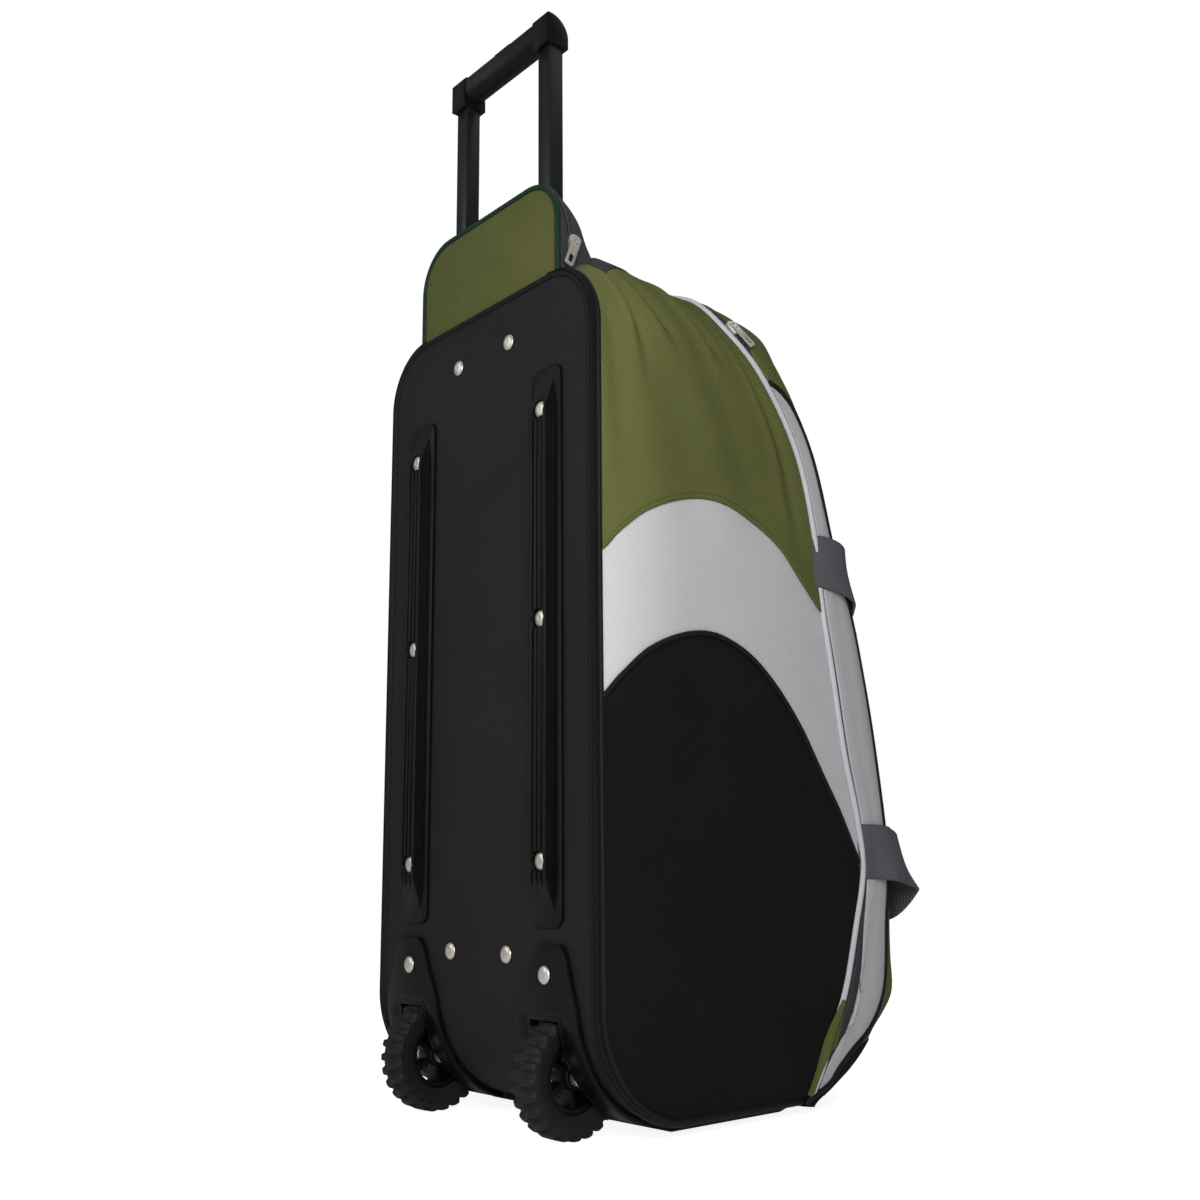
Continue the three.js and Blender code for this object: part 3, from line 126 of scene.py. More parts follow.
# Edge of the lid's silver strip, as a turn round the lid from its seam, up to the strip's tip: row, turn
STRIP_EDGE = [
    (0, -0.06), (0.3, -0.06), (0.75, -0.01), (1.3, 0.01), (1.75, 0.07), (2, 0.13), (2.4, 0.19),
    (3, 0.235), (3.6, 0.21), (4.2, 0.17), (5, 0.16), (6.2, 0.18), (7.4, 0.25), (8, 0.268),
    (8.8, 0.24), (9.8, 0.14), (10.6, 0.07), (11.1, 0.035), (11.4, 0.005), (11.62, -0.02), (11.8, -0.06),
]
STRIP_END_ROW = 11.8
STRIP_PROUD = 0.6
STRIP_LAP = 0.02
SEAM_FOOT = 0.3
FOOT_TUCK = 9
LID_SHARE = 0.97
TOP_LAP_SHARE = 0.03

# How far the lid's cloth puffs out beside its strips: row, puff
LID_PUFFS = [
    (0, 0), (1.9, 0), (2.4, 5), (2.9, 9), (3.5, 5), (4.3, 3), (5, 0),
    (11.8, 0), (12.4, 1.6), (12.8, 4.4), (13.2, 6.6), (13.6, 5.5), (14.2, 2), (15, 0),
]
PUFF_TURN = 0.4
PUFF_WIDE = 0.13
PUFF_ASIDE = 0.6
PUFF_AHEAD = 0.7
PUFF_UP = 0.7
PUFF_UP_ROWS = (11, 13)

# Colours of the side, from the back to the seam: share of the way, top of the silver, top of the black
COLOUR_ARCS = [
    (0, 440, 322),
    (0.05, 449, 335),
    (0.1, 463, 349),
    (0.21, 485, 373),
    (0.37, 502, 389),
    (0.5, 506, 388),
    (0.65, 498, 367),
    (0.8, 478, 319),
    (0.9, 452, 259),
    (1, 424, 199),
]

# Folds in the green side: row and share at the top, row and share at the foot, width as a share, depth
GREEN_FOLDS = [
    (14.2, 0.27, 11.2, 0.275, 0.03, 4.6),
    (13.6, 0.41, 11.6, 0.48, 0.042, 4),
    (13.9, 0.7, 11.8, 0.74, 0.034, 5.6),
    (12.5, 0.915, 9.7, 0.905, 0.03, 4),
    (12.4, 0.11, 9.9, 0.15, 0.05, 2.4),
    (12.3, 0.6, 9.6, 0.72, 0.08, 2.6),
    (11.5, 0.36, 9.4, 0.42, 0.08, 2),
]
FOLD_ROLL = 0.6
FOLD_ROLL_ASIDE = 1.8

# Pocket on top of the back
POCKET_HALF = 105
POCKET_FOOT = 698
POCKET_TOP = 789
POCKET_CORNER = 43
POCKET_STRAIGHT = 0.6
POCKET_LEVEL = 0.25
POCKET_BACK_Y = 11.4
POCKET_BACK_BEND = (4, 24)
POCKET_TUCK = 2
POCKET_STEPS = 80
POCKET_WELT_IN = 0.8
TEETH_OUT = 0.6
TEETH_DEPTH = 0.42
GUSSET_FROM = 0.02
FLAP_Y = 3
FLAP_SWELL = 5

# Depth of the pocket's gusset behind the flap: height, depth
GUSSET_ROWS = [(690, 46), (718, 39.5), (722, 37.5), (730, 33), (744, 27), (758, 18), (768, 12.6), (789, 11.4)]

# Middle of the right carry handle, from its upper end to its lower: x, y, z, then its width's lean in degrees
# from upright towards the right, and its slant towards the back for each unit upwards
STRAP_WIDE = 48
STRAP_ROWS = [
    (146, 256, 474, 0, 0),
    (152.5, 268, 473, 0, 0),
    (154, 288, 470, 0, 0.25),
    (149, 305, 465, 4, 0.4),
    (135, 321, 458, 14, 0.4),
    (112, 338, 446, 32, 0.35),
    (86, 353, 422, 56, 0.3),
    (67, 367, 390, 78, 0.2),
    (60, 383, 344, 88, 0.2),
    (60, 393, 290, 88, 0.2),
    (60, 398, 240, 84, 0.2),
    (69, 403, 206, 61, 0.3),
    (90, 396.5, 180.5, 30, 0.14),
    (109.5, 390, 177.5, 0, 0.03),
    (134, 380, 196, -36, 0.27),
    (150, 368, 206, -12, 0.21),
    (158.5, 341, 213, -10, 0.18),
    (154.5, 322, 215, 0, 0.1),
    (152.5, 309, 215, 0, 0),
    (146, 297, 215, 0, 0),
]
STRAP_END = len(STRAP_ROWS) - 1

# Small steps that a direction is read over: in rows, and as a share of a line
ROW_STEP = 0.01
LINE_STEP = 0.002

# Steps that a sheet is measured in
WIDE_STEPS = 24
LONG_STEPS = 48


def lerp(low, high, part):
    return low + (high - low) * part


def clamp(value, low=0.0, high=1.0):
    return max(low, min(high, value))


def smoothstep(value, low, high):
    part = clamp((value - low) / (high - low))
    return part * part * (3 - 2 * part)


def look_up(rows, column, at):
    """A table's column at a place in its first column, on a smooth curve through the rows."""
    index = 0
    while index < len(rows) - 2 and rows[index + 1][0] < at:
        index += 1
    low, high = rows[index], rows[index + 1]
    before, after = rows[max(0, index - 1)], rows[min(len(rows) - 1, index + 2)]
    span = high[0] - low[0]
    leave = (high[column] - before[column]) / (high[0] - before[0]) * span
    reach = (after[column] - low[column]) / (after[0] - low[0]) * span
    part = clamp((at - low[0]) / span)
    bend = 3 * (high[column] - low[column]) - 2 * leave - reach
    twist = 2 * (low[column] - high[column]) + leave + reach
    return low[column] + leave * part + bend * part ** 2 + twist * part ** 3


def smooth_line(points):
    """A centripetal curve through points, read by a place that counts them from 0."""
    def read(place):
        index = min(len(points) - 2, max(0, int(place)))
        near, far = points[index], points[index + 1]
        before = points[index - 1] if index else near * 2 - far
        after = points[index + 2] if index + 2 < len(points) else far * 2 - near
        gaps = [math.sqrt((b - a).length) for a, b in ((before, near), (near, far), (far, after))]
        leave = (near - before) / gaps[0] - (far - before) / (gaps[0] + gaps[1]) + (far - near) / gaps[1]
        reach = (far - near) / gaps[1] - (after - near) / (gaps[1] + gaps[2]) + (after - far) / gaps[2]
        leave, reach = leave * gaps[1], reach * gaps[1]
        part = place - index
        bend = (far - near) * 3 - leave * 2 - reach
        twist = (near - far) * 2 + leave + reach
        return near + leave * part + bend * part ** 2 + twist * part ** 3
    return read


def even_line(points):
    """A line through points, read by the share of its length from 0 to 1."""
    marks = [0.0]
    for low, high in zip(points, points[1:]):
        marks.append(marks[-1] + (high - low).length)

    def read(share):
        at = clamp(share) * marks[-1]
        index = 0
        while index < len(points) - 2 and marks[index + 1] < at:
            index += 1
        span = marks[index + 1] - marks[index]
        return points[index].lerp(points[index + 1], (at - marks[index]) / span)
    return read


def line_length(line, steps):
    points = [line(step / steps) for step in range(steps + 1)]
    return sum((high - low).length for low, high in zip(points, points[1:]))


def along_line(line, share):
    """The way that a line runs at a share of its length."""
    return (line(min(1, share + LINE_STEP)) - line(max(0, share - LINE_STEP))).normalized()


# The body's guiding lines and surfaces
seam = smooth_line([Vector(row[:3]) for row in LID_ROWS])
front = smooth_line([Vector((0, row[3], row[4])) for row in LID_ROWS])


def heel_y(z, inset=0):
    radius = HEEL - inset
    below = clamp(HEEL_Z - z, 0, radius)
    return HEEL - math.sqrt(radius * radius - below * below)


def along_seam(row):
    return (seam(min(LAST_ROW, row + ROW_STEP)) - seam(max(0, row - ROW_STEP))).normalized()


def across_seam(row):
    along = along_seam(row)
    return (Vector((0, 1, 0)) - along * along.y).normalized()


def corner_turn(row):
    return clamp((row - CORNER_ROW) / (LAST_ROW - CORNER_ROW)) * math.pi / 2


def back_edge(row):
    if row <= CORNER_ROW:
        height = max(BASE_EDGE, seam(row).z)
        return Vector((HALF_WIDTH, heel_y(height), height))
    turn = corner_turn(row)
    return Vector((CORNER_X + CORNER * math.cos(turn), 0, CORNER_Z + CORNER * math.sin(turn)))


def fold_depth(share, row):
    """How far the green cloth's folds press in: each is a crease with a soft roll beside it."""
    depth = 0
    for top_row, top, foot_row, foot, width, deep in GREEN_FOLDS:
        part = (top_row - row) / (top_row - foot_row)
        fade = smoothstep(part, -0.25, 0.2) * (1 - smoothstep(part, 0.55, 1.1))
        aside = (share - lerp(top, foot, part)) / width
        roll = FOLD_ROLL * math.exp(-(aside + FOLD_ROLL_ASIDE) ** 2)
        depth += deep * fade * (math.exp(-aside ** 2) - roll)
    return depth * smoothstep(share, 0.01, 0.07) * (1 - smoothstep(share, 0.94, 0.995))


def side_point(share, row, proud=0):
    """The right side: share runs from the back's edge to the lid's seam, row up the lid's rows."""
    turn = corner_turn(row)
    turned = turn / (math.pi / 2)
    swell = SIDE_SWELL * (1 - turned) * min(1, row / 2)
    out = swell * math.sin(math.pi * clamp(share)) - fold_depth(share, row) + proud
    point = back_edge(row).lerp(seam(row), share)
    point.z += look_up(TOP_LIFT, 1, share) * turned ** 2
    return point + Vector((math.cos(turn), 0, math.sin(turn))) * out


def row_at(height):
    low, high = 0.0, float(CORNER_ROW)
    for _ in range(24):
        middle = (low + high) / 2
        if seam(middle).z < height:
            low = middle
        else:
            high = middle
    return (low + high) / 2


def lid_point(turn, row, set_back=0):
    """The lid, round from the right seam (0) over the front's middle (1) to the left seam (2)."""
    edge = seam(row) + across_seam(row) * (ZIP_SPAN - set_back)
    middle = front(row)
    middle.y -= set_back
    angle = clamp(turn if turn <= 1 else 2 - turn) * math.pi / 2
    forward = math.sin(angle) ** (2 / 3)
    x = edge.x * max(0, math.cos(angle)) ** (2 / 3)
    y, z = lerp(edge.y, middle.y, forward), lerp(edge.z, middle.z, forward)
    return Vector((x if turn <= 1 else -x, y, z))


def lid_lap(turn, row):
    """The lid with its two edges lapped over the zip, where turn goes below 0 or above 2."""
    inward = min(turn, 2 - turn)
    if inward > LAP_EASE:
        return lid_point(turn, row)
    over = max(0, -inward) / LAP_TURN * look_up(ZIP_LAPS, 1, row)
    point = lid_point(max(0, inward), row, over)
    rise = LAP_RISE * (1 - smoothstep(inward, -LAP_TURN / 3, LAP_EASE))
    point += across_seam(row).cross(along_seam(row)) * rise
    return point if turn < 1 else Vector((-point.x, point.y, point.z))


def seam_side(row, offset, proud):
    """Beside the lid's seam: offset towards the lid, or towards the back where it is below 0."""
    across = across_seam(row)
    return seam(row) + across * offset + across.cross(along_seam(row)) * proud


def strip_edge(row):
    return look_up(STRIP_EDGE, 1, row)


def lid_puff(turn, row):
    """How far the lid's cloth puffs out beside its strips, and upwards at its top corners."""
    aside = (min(turn, 2 - turn) - PUFF_TURN) / PUFF_WIDE
    out = look_up(LID_PUFFS, 1, row) * math.exp(-aside ** 2)
    upwards = PUFF_UP * smoothstep(row, *PUFF_UP_ROWS)
    return Vector((PUFF_ASIDE if turn < 1 else -PUFF_ASIDE, PUFF_AHEAD, upwards)) * max(0, out)


def foot_tuck(row):
    """How far the lid's foot is drawn in under it."""
    return Vector((0, FOOT_TUCK * (1 - smoothstep(row, 0, 0.5)), 0))


def seam_path(set_back):
    """Along the lid's seam from the right foot over the top to the left foot."""
    rows = [lerp(SEAM_FOOT, LAST_ROW, step / SEAM_STEPS) for step in range(SEAM_STEPS + 1)]
    right = [lid_point(0, row, set_back) for row in rows]
    over = [lid_point(2 * step / OVER_STEPS, LAST_ROW, set_back) for step in range(1, OVER_STEPS)]
    left = [Vector((-point.x, point.y, point.z)) for point in reversed(right)]
    return even_line(right + over + left)


def back_outline(inset, forward=0):
    """Half of the back's outline, from the base's front on the right to the middle of the top."""
    half = HALF_WIDTH - inset
    points = []
    for step in range(BASE_STEPS):
        part = step / BASE_STEPS
        points.append(Vector((lerp(BASE_FRONT_HALF, half, part), lerp(BASE_FRONT_Y, HEEL, part), BASE_EDGE)))
    for step in range(ARC_STEPS + 1):
        turn = (1 - step / ARC_STEPS) * math.pi / 2
        points.append(Vector((half, HEEL - HEEL * math.cos(turn) + forward, HEEL_Z - HEEL * math.sin(turn))))
    for step in range(ARC_STEPS + 1):
        turn = step / ARC_STEPS * math.pi / 2
        reach = CORNER - inset
        points.append(Vector((CORNER_X + reach * math.cos(turn), forward, CORNER_Z + reach * math.sin(turn))))
    return points


def both_halves(points):
    return points + [Vector((-point.x, point.y, point.z)) for point in reversed(points)]


# Shader helpers
def add_node(tree, kind, values=None, **settings):
    made = tree.nodes.new(kind)
    for key, value in settings.items():
        setattr(made, key, value)
    for key, value in (values or {}).items():
        if isinstance(value, bpy.types.NodeSocket):
            tree.links.new(value, made.inputs[key])
        else:
            made.inputs[key].default_value = value
    return made


def math_node(tree, operation, *values):
    return add_node(tree, "ShaderNodeMath", dict(enumerate(values)), operation=operation).outputs[0]


def mix_colour(tree, factor, first, second):
    return add_node(tree, "ShaderNodeMix", {0: factor, 6: first, 7: second}, data_type="RGBA").outputs[2]


def map_range(tree, value, low, high):
    return add_node(tree, "ShaderNodeMapRange", {0: value, 3: low, 4: high}).outputs[0]


def effect_group(name, inputs, outputs):
    """A shader node group with its named sockets, and the nodes they come in and go out by."""
    group = bpy.data.node_groups.new(name, "ShaderNodeTree")
    for socket, kind in inputs.items():
        group.interface.new_socket(socket, in_out="INPUT", socket_type=kind)
    for socket in outputs:
        group.interface.new_socket(socket, in_out="OUTPUT", socket_type="NodeSocketFloat")
    return group, add_node(group, "NodeGroupInput"), add_node(group, "NodeGroupOutput")


def weave_group():
    """Twill: raised diagonal wales crossed by finer threads, and soft patches of light and dark."""
    sockets = {"Vector": "NodeSocketVector", "Wales": "NodeSocketFloat"}
    group, come, go = effect_group("twill_weave", sockets, ("Height", "Patch"))
    place = come.outputs["Vector"]
    turns = math_node(group, "MULTIPLY", come.outputs["Wales"], 2 * math.pi)
    drift = add_node(group, "ShaderNodeTexNoise", {"Vector": place, "Scale": 60.0, "Detail": 1.0})
    wander = math_node(group, "MULTIPLY", drift.outputs[0], 0.5)
    slant = add_node(group, "ShaderNodeVectorMath", {0: place, 1: (-0.7, 0.71, 0)}, operation="DOT_PRODUCT")
    cross = add_node(group, "ShaderNodeVectorMath", {0: place, 1: (0.71, 0.7, 0)}, operation="DOT_PRODUCT")
    wale = math_node(group, "SINE", math_node(group, "MULTIPLY_ADD", slant.outputs["Value"], turns, wander))
    thread = math_node(group, "SINE", math_node(group, "MULTIPLY", cross.outputs["Value"], turns))
    raised = math_node(group, "MULTIPLY_ADD", wale, 0.36, 0.5)
    height = math_node(group, "MULTIPLY_ADD", thread, 0.14, raised)
    patch = add_node(group, "ShaderNodeTexNoise", {"Vector": place, "Scale": 9.0, "Detail": 3.0})
    group.links.new(height, go.inputs["Height"])
    group.links.new(patch.outputs[0], go.inputs["Patch"])
    return group


def grain_group():
    """Moulded or rolled grain: a fine pebble, soft patches, and thin scuffs."""
    sockets = {"Vector": "NodeSocketVector", "Fineness": "NodeSocketFloat"}
    group, come, go = effect_group("moulded_grain", sockets, ("Height", "Patch", "Scuff"))
    place = come.outputs["Vector"]
    fineness = come.outputs["Fineness"]
    pebble = add_node(group, "ShaderNodeTexNoise", {"Vector": place, "Scale": fineness, "Detail": 2.0})
    patch = add_node(group, "ShaderNodeTexNoise", {"Vector": place, "Scale": 28.0, "Detail": 3.0})
    streaks = {"Vector": place, "Scale": 140.0, "Detail": 5.0, "Distortion": 1.5}
    marks = add_node(group, "ShaderNodeTexNoise", streaks)
    scuff = add_node(group, "ShaderNodeMapRange", {0: marks.outputs[0], 1: 0.62, 2: 0.78})
    group.links.new(pebble.outputs[0], go.inputs["Height"])
    group.links.new(patch.outputs[0], go.inputs["Patch"])
    group.links.new(scuff.outputs[0], go.inputs["Scuff"])
    return group


WEAVE = weave_group()
GRAIN = grain_group()
WEAVE_HEIGHT = 0.0006
GRAIN_HEIGHT = 0.0004
# Width of the painted highlight along a cloth's left edge, in metres
LIT_EDGE_WIDE = 0.11


def new_material(name, settings):
    """A material with a Principled shader, its constant sockets set, and its tree."""
    made = bpy.data.materials.new(name)
    made.use_nodes = True
    shader = made.node_tree.nodes["Principled BSDF"]
    for key, value in settings.items():
        shader.inputs[key].default_value = value
    return made, made.node_tree, shader


def bump_into(tree, shader, height, strength, distance):
    bump = add_node(tree, "ShaderNodeBump", {"Height": height, "Strength": strength, "Distance": distance})
    tree.links.new(bump.outputs[0], shader.inputs["Normal"])


def cloth_material(name, dark, light, wales, rough, strength, lit_edge_strength=0.0, **settings):
    """Woven cloth on the piece's own UV map, in metres. The last number paints light: a painted highlight
    that lightens the cloth along the map's left edge.
    """
    made, tree, shader = new_material(name, settings)
    place = add_node(tree, "ShaderNodeUVMap")
    weave = add_node(tree, "ShaderNodeGroup", node_tree=WEAVE)
    weave.inputs["Wales"].default_value = wales
    tree.links.new(place.outputs[0], weave.inputs["Vector"])
    patch = map_range(tree, weave.outputs["Patch"], -0.28, 0.28)
    tone = math_node(tree, "ADD", weave.outputs["Height"], patch)
    colour = mix_colour(tree, tone, (*dark, 1), (*light, 1))
    # Painted light: the cloth is lightened along the map's left edge, by the back, as if lit there
    if lit_edge_strength:
        apart = add_node(tree, "ShaderNodeSeparateXYZ", {0: place.outputs[0]})
        reach = {0: apart.outputs[0], 1: 0.0, 2: LIT_EDGE_WIDE, 3: lit_edge_strength, 4: 0.0}
        edge = add_node(tree, "ShaderNodeMapRange", reach, interpolation_type="SMOOTHSTEP")
        pale = [2 * value for value in light]
        colour = mix_colour(tree, edge.outputs[0], colour, (*pale, 1))
    tree.links.new(colour, shader.inputs["Base Color"])
    tree.links.new(map_range(tree, tone, rough + 0.08, rough - 0.08), shader.inputs["Roughness"])
    bump_into(tree, shader, weave.outputs["Height"], strength, WEAVE_HEIGHT)
    return made


def moulded_material(name, base, worn, fineness, rough, strength, **settings):
    """Plastic, rubber, paint or metal with a fine grain and thin scuffs, on Object coordinates."""
    made, tree, shader = new_material(name, settings)
    place = add_node(tree, "ShaderNodeTexCoord")
    grain = add_node(tree, "ShaderNodeGroup", node_tree=GRAIN)
    grain.inputs["Fineness"].default_value = fineness
    tree.links.new(place.outputs["Object"], grain.inputs["Vector"])
    wear = math_node(tree, "MULTIPLY_ADD", grain.outputs["Patch"], 0.35, grain.outputs["Scuff"])
    tree.links.new(mix_colour(tree, wear, (*base, 1), (*worn, 1)), shader.inputs["Base Color"])
    polish = map_range(tree, grain.outputs["Patch"], rough - 0.1, rough + 0.12)
    tree.links.new(polish, shader.inputs["Roughness"])
    bump_into(tree, shader, grain.outputs["Height"], strength, GRAIN_HEIGHT)
    return made


# How much each finish shines
SHINE = "Specular IOR Level"
FLAT = {SHINE: 0.1}
DULL = {SHINE: 0.18}
MOULDED = {SHINE: 0.2}
GUMMY = {SHINE: 0.3}
DRAWN = {SHINE: 0.35}
SATIN = {SHINE: 0.4}

# Cloths: dark and light threads, wales to the metre, roughness, strength of the weave, strength of the
# painted highlight along the edge by the back
GREEN_DARK, GREEN_LIGHT = (0.064, 0.071, 0.018), (0.146, 0.157, 0.048)
GREEN = cloth_material("green_twill", GREEN_DARK, GREEN_LIGHT, 430, 0.8, 0.4, **DULL)
# The sides' green: the same cloth with a painted highlight along the edge by the back
GREEN_SIDE_LIT = cloth_material("green_side_twill_painted_light", GREEN_DARK, GREEN_LIGHT, 430, 0.8, 0.4, 0.2, **DULL)
# Lit and shaded copies of one silver cloth: painted shade makes the lid strips' copy darker, and the sides'
# copy is lighter, with a painted highlight by the back
SILVER_STRIP_SHADED = cloth_material(
    "silver_strip_twill_painted_shade", (0.41, 0.415, 0.425), (0.52, 0.525, 0.535), 430, 0.5, 0.25, **SATIN)
SILVER_SIDE_LIT = cloth_material(
    "silver_side_twill_painted_light", (0.43, 0.435, 0.445), (0.6, 0.605, 0.615), 430, 0.5, 0.3, 0.3, **SATIN)
BLACK = cloth_material(
    "black_twill", (0.0035, 0.0035, 0.0038), (0.0115, 0.0115, 0.012), 430, 0.8, 0.4, **FLAT)
BACKING = cloth_material(
    "black_backing", (0.007, 0.007, 0.0075), (0.021, 0.021, 0.022), 430, 0.66, 0.4, **DULL)
PIPE_WHITE = cloth_material(
    "white_piping", (0.46, 0.475, 0.5), (0.64, 0.655, 0.69), 700, 0.42, 0.2)
PIPE_BLACK = cloth_material(
    "black_piping", (0.0035, 0.0035, 0.004), (0.012, 0.012, 0.013), 700, 0.55, 0.25, **DULL)
PIPE_GREEN = cloth_material(
    "green_piping", (0.004, 0.02, 0.008), (0.012, 0.045, 0.02), 700, 0.45, 0.25, **DULL)
WEB = cloth_material(
    "grey_webbing", (0.055, 0.051, 0.06), (0.155, 0.145, 0.162), 330, 0.75, 0.7, **DULL)
TAPE = cloth_material(
    "grey_zip_tape", (0.024, 0.023, 0.027), (0.07, 0.067, 0.076), 800, 0.72, 0.4, **DULL)
THREAD_GREEN = cloth_material(
    "green_thread", (0.035, 0.04, 0.009), (0.07, 0.078, 0.02), 1500, 0.6, 0.3, **DULL)

# Moulded parts and metal: base, worn edges, fineness of the grain, roughness, strength of the grain
PLASTIC = moulded_material(
    "black_plastic", (0.0022, 0.0022, 0.0025), (0.0075, 0.0075, 0.0082), 900, 0.42, 0.12, **MOULDED)
TUBE = moulded_material(
    "black_tube", (0.006, 0.006, 0.0065), (0.015, 0.015, 0.016), 1400, 0.38, 0.05, **DRAWN)
RUBBER = moulded_material(
    "black_rubber", (0.007, 0.007, 0.007), (0.02, 0.019, 0.018), 700, 0.6, 0.2, **GUMMY)
NICKEL = moulded_material(
    "warm_nickel", (0.76, 0.7, 0.62), (0.86, 0.82, 0.76), 1100, 0.34, 0.015, Metallic=0.75)
TEETH = moulded_material(
    "zip_teeth", (0.02, 0.02, 0.024), (0.05, 0.05, 0.056), 900, 0.4, 0.1)


# Mesh helpers
def to_frame(point):
    return Vector((point.x * MM, BACK_FACE + point.y * MM, point.z * MM))


def finish_piece(name, bm, material, nodes, body="bag"):
    """The mesh as an object at the origin that rides on a body and stands for its nodes."""
    mesh = bpy.data.meshes.new(name)
    bm.to_mesh(mesh)
    bm.free()
    for face in mesh.polygons:
        face.use_smooth = True
    mesh.materials.append(material)
    piece = bpy.data.objects.new(name, mesh)
    bpy.context.scene.collection.objects.link(piece)
    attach(piece, body)
    if nodes:
        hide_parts(*nodes)
    return piece


def thicken(piece, thickness):
    wall = piece.modifiers.new("cloth thickness", "SOLIDIFY")
    wall.thickness = thickness * MM
    wall.offset = -1
    return piece


def draped_grid(surface, across, along, side=1, closed=False, cut=None):
    """A grid laid on surface(u, v), with a UV map in metres. Side -1 lays it on the bag's other side.

    The weave runs along the grid, or as cut(point) lays the cloth out flat.
    """
    bm = bmesh.new()
    uv = bm.loops.layers.uv.new("UVMap")
    bmesh.ops.create_grid(bm, x_segments=across, y_segments=along, size=0.5)
    shares = {vert: (vert.co.x + 0.5, vert.co.y + 0.5) for vert in bm.verts}
    wide = line_length(lambda u: surface(u, 0.5), WIDE_STEPS) * MM
    long = line_length(lambda v: surface(0.5, v), LONG_STEPS) * MM
    points = {vert: surface(clamp(u), clamp(v)) for vert, (u, v) in shares.items()}
    for face in bm.faces:
        for loop in face.loops:
            u, v = shares[loop.vert]
            loop[uv].uv = cut(points[loop.vert]) if cut else (u * wide, v * long)
    for vert, point in points.items():
        vert.co = to_frame(Vector((side * point.x, point.y, point.z)))
    if side < 0:
        bmesh.ops.reverse_faces(bm, faces=bm.faces)
    if closed:
        bmesh.ops.remove_doubles(bm, verts=bm.verts, dist=1e-6)
    return bm


def cut_size(surface):
    """Width and length of the flat cloth that a surface takes, each along its longest line, in metres."""
    places = [step / 4 for step in range(5)]
    wide = max(line_length(lambda u: surface(u, v), WIDE_STEPS) for v in places)
    long = max(line_length(lambda v: surface(u, v), LONG_STEPS) for u in places)
    return wide * MM, long * MM


def lay_cloth(name, bm, surface, material, nodes, thickness):
    """A mesh laid on surface(u, v) as a sheet of cloth, with its thickness. Its area and flat size are
    measured but not kept.
    """
    area = sum(face.calc_area() for face in bm.faces)
    wide, long = cut_size(surface)
    piece = thicken(finish_piece(name, bm, material, nodes), thickness)
    return piece


def cloth_piece(name, surface, across, along, material, nodes,
                thickness=CLOTH, side=1, cut=None):
    bm = draped_grid(surface, across, along, side, cut=cut)
    return lay_cloth(name, bm, surface, material, nodes, thickness)


def side_cut(point):
    """The side's cloth laid out flat, with the weave straight along the back."""
    return point.y * MM, (point.z + HALF_WIDTH - point.x) * MM


def carried_sides(line, steps):
    """A direction across a line, carried along it without a twist, one for each step."""
    side = Vector((0, 0, 1))
    carried = []
    for step in range(steps + 1):
        along = (line(min(1, (step + 1) / steps)) - line(max(0, (step - 1) / steps))).normalized()
        if not carried and abs(along.z) > 0.9:
            side = Vector((0, 1, 0))
        side = (side - along * side.dot(along)).normalized()
        carried.append(side)
    return carried


TUBE_STEPS = 400
RIB_SWELL = 0.28


def tube_surface(line, radius, ribs):
    """A round cord along a line: u runs round it and v along it. Ribs swell it into teeth."""
    carried = carried_sides(line, TUBE_STEPS)

    def surface(u, v):
        along = along_line(line, v)
        side = carried[round(v * TUBE_STEPS)]
        side = (side - along * side.dot(along)).normalized()
        over = side.cross(along)
        size = radius * (1 + RIB_SWELL * math.sin(2 * math.pi * ribs * v))
        angle = 2 * math.pi * u
        return line(v) + (side * math.cos(angle) - over * math.sin(angle)) * size
    return surface


def cord_piece(name, line, radius, sides, steps, material, nodes, side=1, ribs=0):
    bm = draped_grid(tube_surface(line, radius, ribs), sides, steps, side, closed=True)
    bmesh.ops.holes_fill(bm, edges=bm.edges, sides=sides)
    bmesh.ops.recalc_face_normals(bm, faces=bm.faces)
    return finish_piece(name, bm, material, nodes)


def turned_on(bm, profile, centre, axis, steps):
    """Adds a profile, in rows of (way along the axis, radius), turned round an axis through centre."""
    up = Vector((0, 0, 1))
    verts = [bm.verts.new(centre + axis * (along * MM) + up * (radius * MM)) for along, radius in profile]
    edges = [bm.edges.new(pair) for pair in zip(verts, verts[1:])]
    bmesh.ops.spin(bm, geom=verts + edges, cent=centre, axis=axis, angle=2 * math.pi, steps=steps,
                   use_merge=True)


def close_mesh(bm):
    bmesh.ops.remove_doubles(bm, verts=bm.verts, dist=1e-6)
    bmesh.ops.recalc_face_normals(bm, faces=bm.faces)
    return bm


EASED_ANGLE = math.radians(35)
FLAT_ANGLE = math.radians(1)


def ease_edges(piece, width):
    rim = piece.modifiers.new("eased edges", "BEVEL")
    rim.width = width * MM
    rim.segments = 2
    rim.limit_method = "ANGLE"
    rim.angle_limit = EASED_ANGLE
    rim.harden_normals = True
    return piece


def eased_copy(node, material, width, body="bag"):
    """A moulded piece on its CAD node's shape, with the edges eased."""
    bm = bmesh.new()
    bm.from_mesh(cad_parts[node].data)
    bmesh.ops.remove_doubles(bm, verts=bm.verts, dist=1e-5)
    bmesh.ops.dissolve_limit(bm, angle_limit=FLAT_ANGLE, verts=bm.verts, edges=bm.edges)
    return ease_edges(finish_piece(f"{node}_eased", bm, material, [node], body), width)


def stretched(size):
    """A unit cube's stretch to a size in millimetres."""
    return Matrix.Diagonal((size[0] * MM, size[1] * MM, size[2] * MM, 1))


# A stitch's length, width and height
STITCH = (2.8, 0.8, 0.7)


